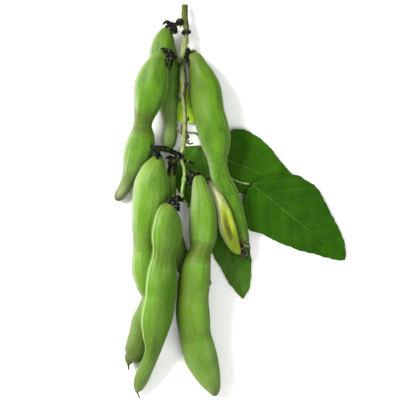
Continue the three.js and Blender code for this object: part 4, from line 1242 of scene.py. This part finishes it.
# %% The leaf stalk
LEAF_STALK = [
    [
        [-23.4, 38.4, 10, 0.8], [-21.4, 38.4, 8, 0.65], [-19, 38.2, 4.9, 0.6], [-16.8, 36.6, 2.7, 0.6],
        [-13.4, 32, 2, 0.6], [-10, 27.6, 1.95, 0.6],
    ],
    [[-10, 27.6, 1.95, 0.6], [-8.8, 26.8, 1.95, 0.6], [-7.5, 26.1, 1.9, 0.5]],
    [[-10, 27.6, 1.95, 0.6], [-12.8, 28.9, 1.95, 0.6], [-15.8, 29.5, 1.95, 0.5]],
    [
        [-10, 27.6, 1.95, 0.6], [-9.2, 25, 3, 0.6], [-7, 21, 3.4, 0.6],
        [-0.4, 14, 3.5, 0.55], [6, 10.8, 3.4, 0.55], [11.6, 9.6, 3.7, 0.5],
    ],
]
JOINTS = [[11.8, 9.6, 3.7, 0.9], [-7.4, 26, 1.9, 0.8], [-15.9, 29.5, 1.9, 0.8]]  # x, y, z and reach
stalk_material, tree, shader, place = new_material("leaf_stalk_green", Roughness=0.6, Specular_IOR_Level=0.15)
patches = noise(tree, place, 500.0, 3.0, 0.6)
pale = mixed(tree, spread(tree, patches, 0.35, 0.65), "66773f", "8e9a6c")
dark_joints = mixed(tree, spread(tree, painted(tree, "joint"), 0.35, 0.75), pale, "1c2409")
tree.links.new(dark_joints, shader.inputs["Base Color"])
lines = swept("leaf_stalk_lines", LEAF_STALK, stalk_material, sides=20, grain=600.0, relief=0.12)
leaf_stalk = joined("leaf_stalk_green", [lines])
painted_near(leaf_stalk, "joint", JOINTS)
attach(leaf_stalk, "root")
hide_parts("leaf_stalk")
print("leaf stalk faces:", len(leaf_stalk.data.polygons))

# %% The leaflets' rows: a base, a tip, and how far along and how far out the two edges run
LEAFLETS = {
    "leaflet_upper": {
        "base": [-6.6, 25.8], "tip": [42.8, 4.7],
        "left": [
            [0, 0], [0.6, 8], [1.6, 16], [6, 18.6], [12.3, 19.1],
            [20.7, 17.5], [29.7, 13.3], [37.5, 9.2], [46, 4.6], [54, 0],
        ],
        "right": [
            [0, 0], [0.8, 5], [2.6, 10], [8, 13.4], [15, 14.4],
            [22, 14.4], [31, 12.3], [39, 9], [47.6, 4.5], [54, 0],
        ],
        "lift": lambda along, out: 1.7 - 2 * np.clip(np.minimum(along, 0.8) - 0.3, 0, None)
        + 1.2 * np.sin(9 * along) * out**2,
        "tone": 0.6,
    },
    "leaflet_tip": {
        "base": [12.6, 9.6], "tip": [65.2, -32.9],
        "left": [
            [0, 0], [0.8, 4.3], [5, 9.9], [11.2, 16.2], [16.8, 20.2], [24, 21.2], [31, 21.4],
            [37, 18.8], [44.8, 15.4], [53.2, 11.8], [60.5, 7.7], [65.2, 3.9], [67.6, 0],
        ],
        "right": [
            [0, 0], [0.2, 4], [1.2, 9], [4.4, 14], [10, 18.5], [15, 20.7],
            [23, 17.9], [33, 15.9], [43, 12.5], [53.8, 7.8], [61, 4.5], [65.4, 2.3], [67.6, 0],
        ],
        "lift": lambda along, out: 3.3 - 3 * along + 4.4 * np.sin(7 * along + 1) * out**2 + 0.6 * np.abs(out),
        "tone": 0.2,
    },
    "leaflet_lower": {
        "base": [-16.5, 29.3], "tip": [7.6, -54.9],
        "left": [
            [0, 0], [-0.6, 5], [4.4, 9.8], [12, 11.8], [20, 12], [28, 11.6],
            [36, 11.8], [46, 12.6], [57, 12.2], [67, 10.8], [78, 7.4], [83.6, 4.6], [87.8, 0],
        ],
        "right": [
            [0, 0], [-4, 8], [0.4, 13.8], [7.5, 17], [15.1, 18.6], [24, 17.2],
            [33, 14.2], [43.3, 12.4], [57.3, 9.6], [67.3, 7.4], [78.4, 4.4], [83.6, 2.4], [87.8, 0],
        ],
        "lift": lambda along, out: 0.2 + 4 * np.clip(along - 0.45, 0, None) * np.abs(out)
        + 1.2 * np.clip(-out - 0.05, 0, None),
        # This leaflet's tone is partly painted light: it is painted paler to make up for the pods' shade over it.
        "tone": 1.35,
    },
    "young_leaf": {
        "base": [-26, 44.7], "tip": [-23.8, 65.7],
        "left": [[0, 0], [-0.1, 3], [2.1, 3.6], [6, 3.8], [9.4, 3.6], [13, 2.4], [17.6, 1], [21.1, 0]],
        "right": [[0, 0], [0, 5.6], [2.5, 6.3], [6, 5.4], [9.8, 4], [13.4, 2.8], [17.6, 1.4], [21.1, 0]],
        "lift": lambda along, out: 2.4 - 0.8 * along + 1.2 * np.abs(out) - 4.4 * np.clip(out, 0, None),
        "tone": 0.5,
    },
}

# %% [markdown]
# Veins are lines in the blade's own measure: the length along the midrib less what a side vein gains as it runs
# outwards. The finish draws them from the two painted lengths, so they stay fine at any distance. The veins of the
# right half start between those of the left half.

# %% Leaf finishes
VEIN_SLANT = 0.75  # how many millimetres a side vein gains for each one outwards
VEIN_BEND = 0.012  # and how much more for the square of them
VEIN_STAGGER = 0.45  # how far the two halves' veins are apart, as a share of the spacing
SPACING, YOUNG_SPACING = 8.5, 3.2  # from one side vein to the next


def leaf_material(name, spacing, deep, fresh, vein_colour, underside, gloss):
    """A blade's finish from its painted lengths: patches, midrib and side veins, with a paler underside."""
    material, tree, shader, place = new_material(name, Roughness=0.5, Specular_IOR_Level=gloss)
    along, out = painted(tree, "along"), painted(tree, "out")
    from_midrib = number(tree, "ABSOLUTE", out)
    run = number(tree, "SUBTRACT", along, times(tree, from_midrib, VEIN_SLANT))
    run = number(tree, "SUBTRACT", run, times(tree, out, out, VEIN_BEND))
    half_step = times(tree, number(tree, "GREATER_THAN", out, 0.0), VEIN_STAGGER * spacing)
    side_vein = spread(tree, number(tree, "PINGPONG", plus(tree, run, half_step), spacing / 2), 0.24, 0.08)
    midrib = spread(tree, from_midrib, 0.45, 0.2)
    cells = {"Vector": place, "Scale": 700.0}
    webs = node(tree, "ShaderNodeTexVoronoi", cells, feature="DISTANCE_TO_EDGE").outputs["Distance"]
    tone = plus(tree, painted(tree, "tone"), shifted(tree, noise(tree, place, 90.0, 4.0, 0.6), 0.4))
    clear = noise(tree, place, 220.0, 2.0, 0.5)
    fading = spread(tree, along, 16.0, 46.0, 1.0, 0.3)
    green = layered(
        tree,
        mixed(tree, spread(tree, tone, 0.0, 1.0), deep, fresh),
        (spread(tree, tone, 1.0, 2.0), vein_colour),
        (spread(tree, webs, 0.08, 0.0, 0.0, 0.15), vein_colour),
        (times(tree, side_vein, spread(tree, clear, 0.4, 0.62, 0.08, 0.5), fading), vein_colour),
        (times(tree, midrib, spread(tree, clear, 0.35, 0.6, 0.2, 0.75), fading), vein_colour),
        (times(tree, painted(tree, "below"), 0.6), underside),
    )
    sunk = number(tree, "SUBTRACT", spread(tree, webs, 0.0, 0.2), number(tree, "MAXIMUM", side_vein, midrib))
    finished(tree, shader, green, sunk, strength=0.3, depth=0.3)
    return material


leaf_green = leaf_material("leaf_green", SPACING, "193d02", "2a5203", "47682a", "4d6a2a", gloss=0.03)
young_green = leaf_material("young_leaf_green", YOUNG_SPACING, "8cba1c", "a4cc34", "c4e644", "b4cf50", gloss=0.15)
print("leaf finishes:", [m.name for m in (leaf_green, young_green)])


# %% A blade from its two sides
def blade_object(name, upper, lower, paint, tone):
    """A thin closed leaf from two grids of points, whose first and last rows are single points."""
    rows, columns = upper.shape[0] - 1, upper.shape[1] - 1
    index = np.arange(upper.shape[0] * upper.shape[1]).reshape(upper.shape[:2])
    index[0], index[-1] = index[0, 0], index[-1, 0]
    count = index.size
    faces = []

    def add(*corners):
        """Keeps a face, without its doubled corners, if three or more are left."""
        corners = tuple(dict.fromkeys(int(c) for c in corners))
        if len(corners) > 2:
            faces.append(corners)

    for r in range(rows):
        for c in range(columns):
            quad = (index[r, c], index[r + 1, c], index[r + 1, c + 1], index[r, c + 1])
            add(*quad)
            add(*(count + q for q in reversed(quad)))
        first, second = index[r, 0], index[r + 1, 0]
        add(second, first, count + first, count + second)
        first, second = index[r, columns], index[r + 1, columns]
        add(first, second, count + second, count + first)
    vertices = np.concatenate([upper.reshape(-1, 3), lower.reshape(-1, 3)])
    used = np.unique([corner for face in faces for corner in face])
    renumbered = {old: new for new, old in enumerate(used.tolist())}
    faces = [tuple(renumbered[corner] for corner in face) for face in faces]
    both = {key: np.tile(values.reshape(-1), 2)[used] for key, values in paint.items()}
    both["below"] = (used >= count).astype(float)
    both["tone"] = np.full(len(used), tone)
    return new_object(name, vertices[used], faces, both)


# %% Shape the blades
BLADE_ROWS = 150
BLADE_COLUMNS = 60
BLADE_TOP = 0.8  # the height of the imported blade's top over its underside
BLADE_THICKNESS = 0.35
BELOW_TOP = 0.1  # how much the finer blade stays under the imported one's top
LOWEST = 0.02
QUILTING = 0.3
QUILT_EDGE, QUILT_MIDRIB = 0.3, 2.0  # a share of the blade's half width, and millimetres
GROOVE, GROOVE_WIDTH = 0.25, 0.6
EDGE_WAVE, EDGE_WAVE_LENGTH, FULL_WAVE = 0.22, 4.0, 4.0

for name, leaflet in LEAFLETS.items():
    base, tip = np.array(leaflet["base"], float), np.array(leaflet["tip"], float)
    length = np.linalg.norm(tip - base)
    ahead = (tip - base) / length
    leftward = np.array([-ahead[1], ahead[0]])
    down = eased(BLADE_ROWS)[:, None]
    across = np.linspace(-1, 1, BLADE_COLUMNS + 1)[None, :]
    left = through(leaflet["left"], down, open_ends=False)
    right = through(leaflet["right"], down, open_ends=False)
    edge = np.where((across < 0)[..., None], left, right)
    wave = EDGE_WAVE * ripple(7, edge[..., 0] + 90 * np.sign(across), 0 * down, 0, EDGE_WAVE_LENGTH)
    edge[..., 1] += wave * ramp(edge[..., 1], FULL_WAVE)
    middle = (left[..., 0] + right[..., 0]) / 2
    along = middle + (edge[..., 0] - middle) * np.abs(across)
    out = edge[..., 1] * across
    spacing = YOUNG_SPACING if name == "young_leaf" else SPACING
    run = along - VEIN_SLANT * np.abs(out) - VEIN_BEND * out**2 + np.where(out > 0, VEIN_STAGGER * spacing, 0)
    inside = ramp(1 - np.abs(across), QUILT_EDGE) * ramp(np.abs(out), QUILT_MIDRIB)
    quilt = QUILTING * (spacing / SPACING) * inside * (np.abs(np.sin(math.pi * run / spacing)) ** 0.7 - 0.6)
    plane = base + ahead * along[..., None] - leftward * out[..., None]
    top = leaflet["lift"](along / length, out / length) + BLADE_TOP - BELOW_TOP + quilt
    top = top - GROOVE * bell(out, GROOVE_WIDTH)
    upper = np.dstack([plane, top])
    lower = np.dstack([plane, np.maximum(top - BLADE_THICKNESS, LOWEST)])
    blade = blade_object(name + "_blade", upper, lower, {"along": along, "out": out}, leaflet["tone"])
    blade.data.materials.append(young_green if name == "young_leaf" else leaf_green)
    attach(blade, "root")
    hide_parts(name)
    print(name, "faces:", len(blade.data.polygons), "length in mm:", round(length, 1))
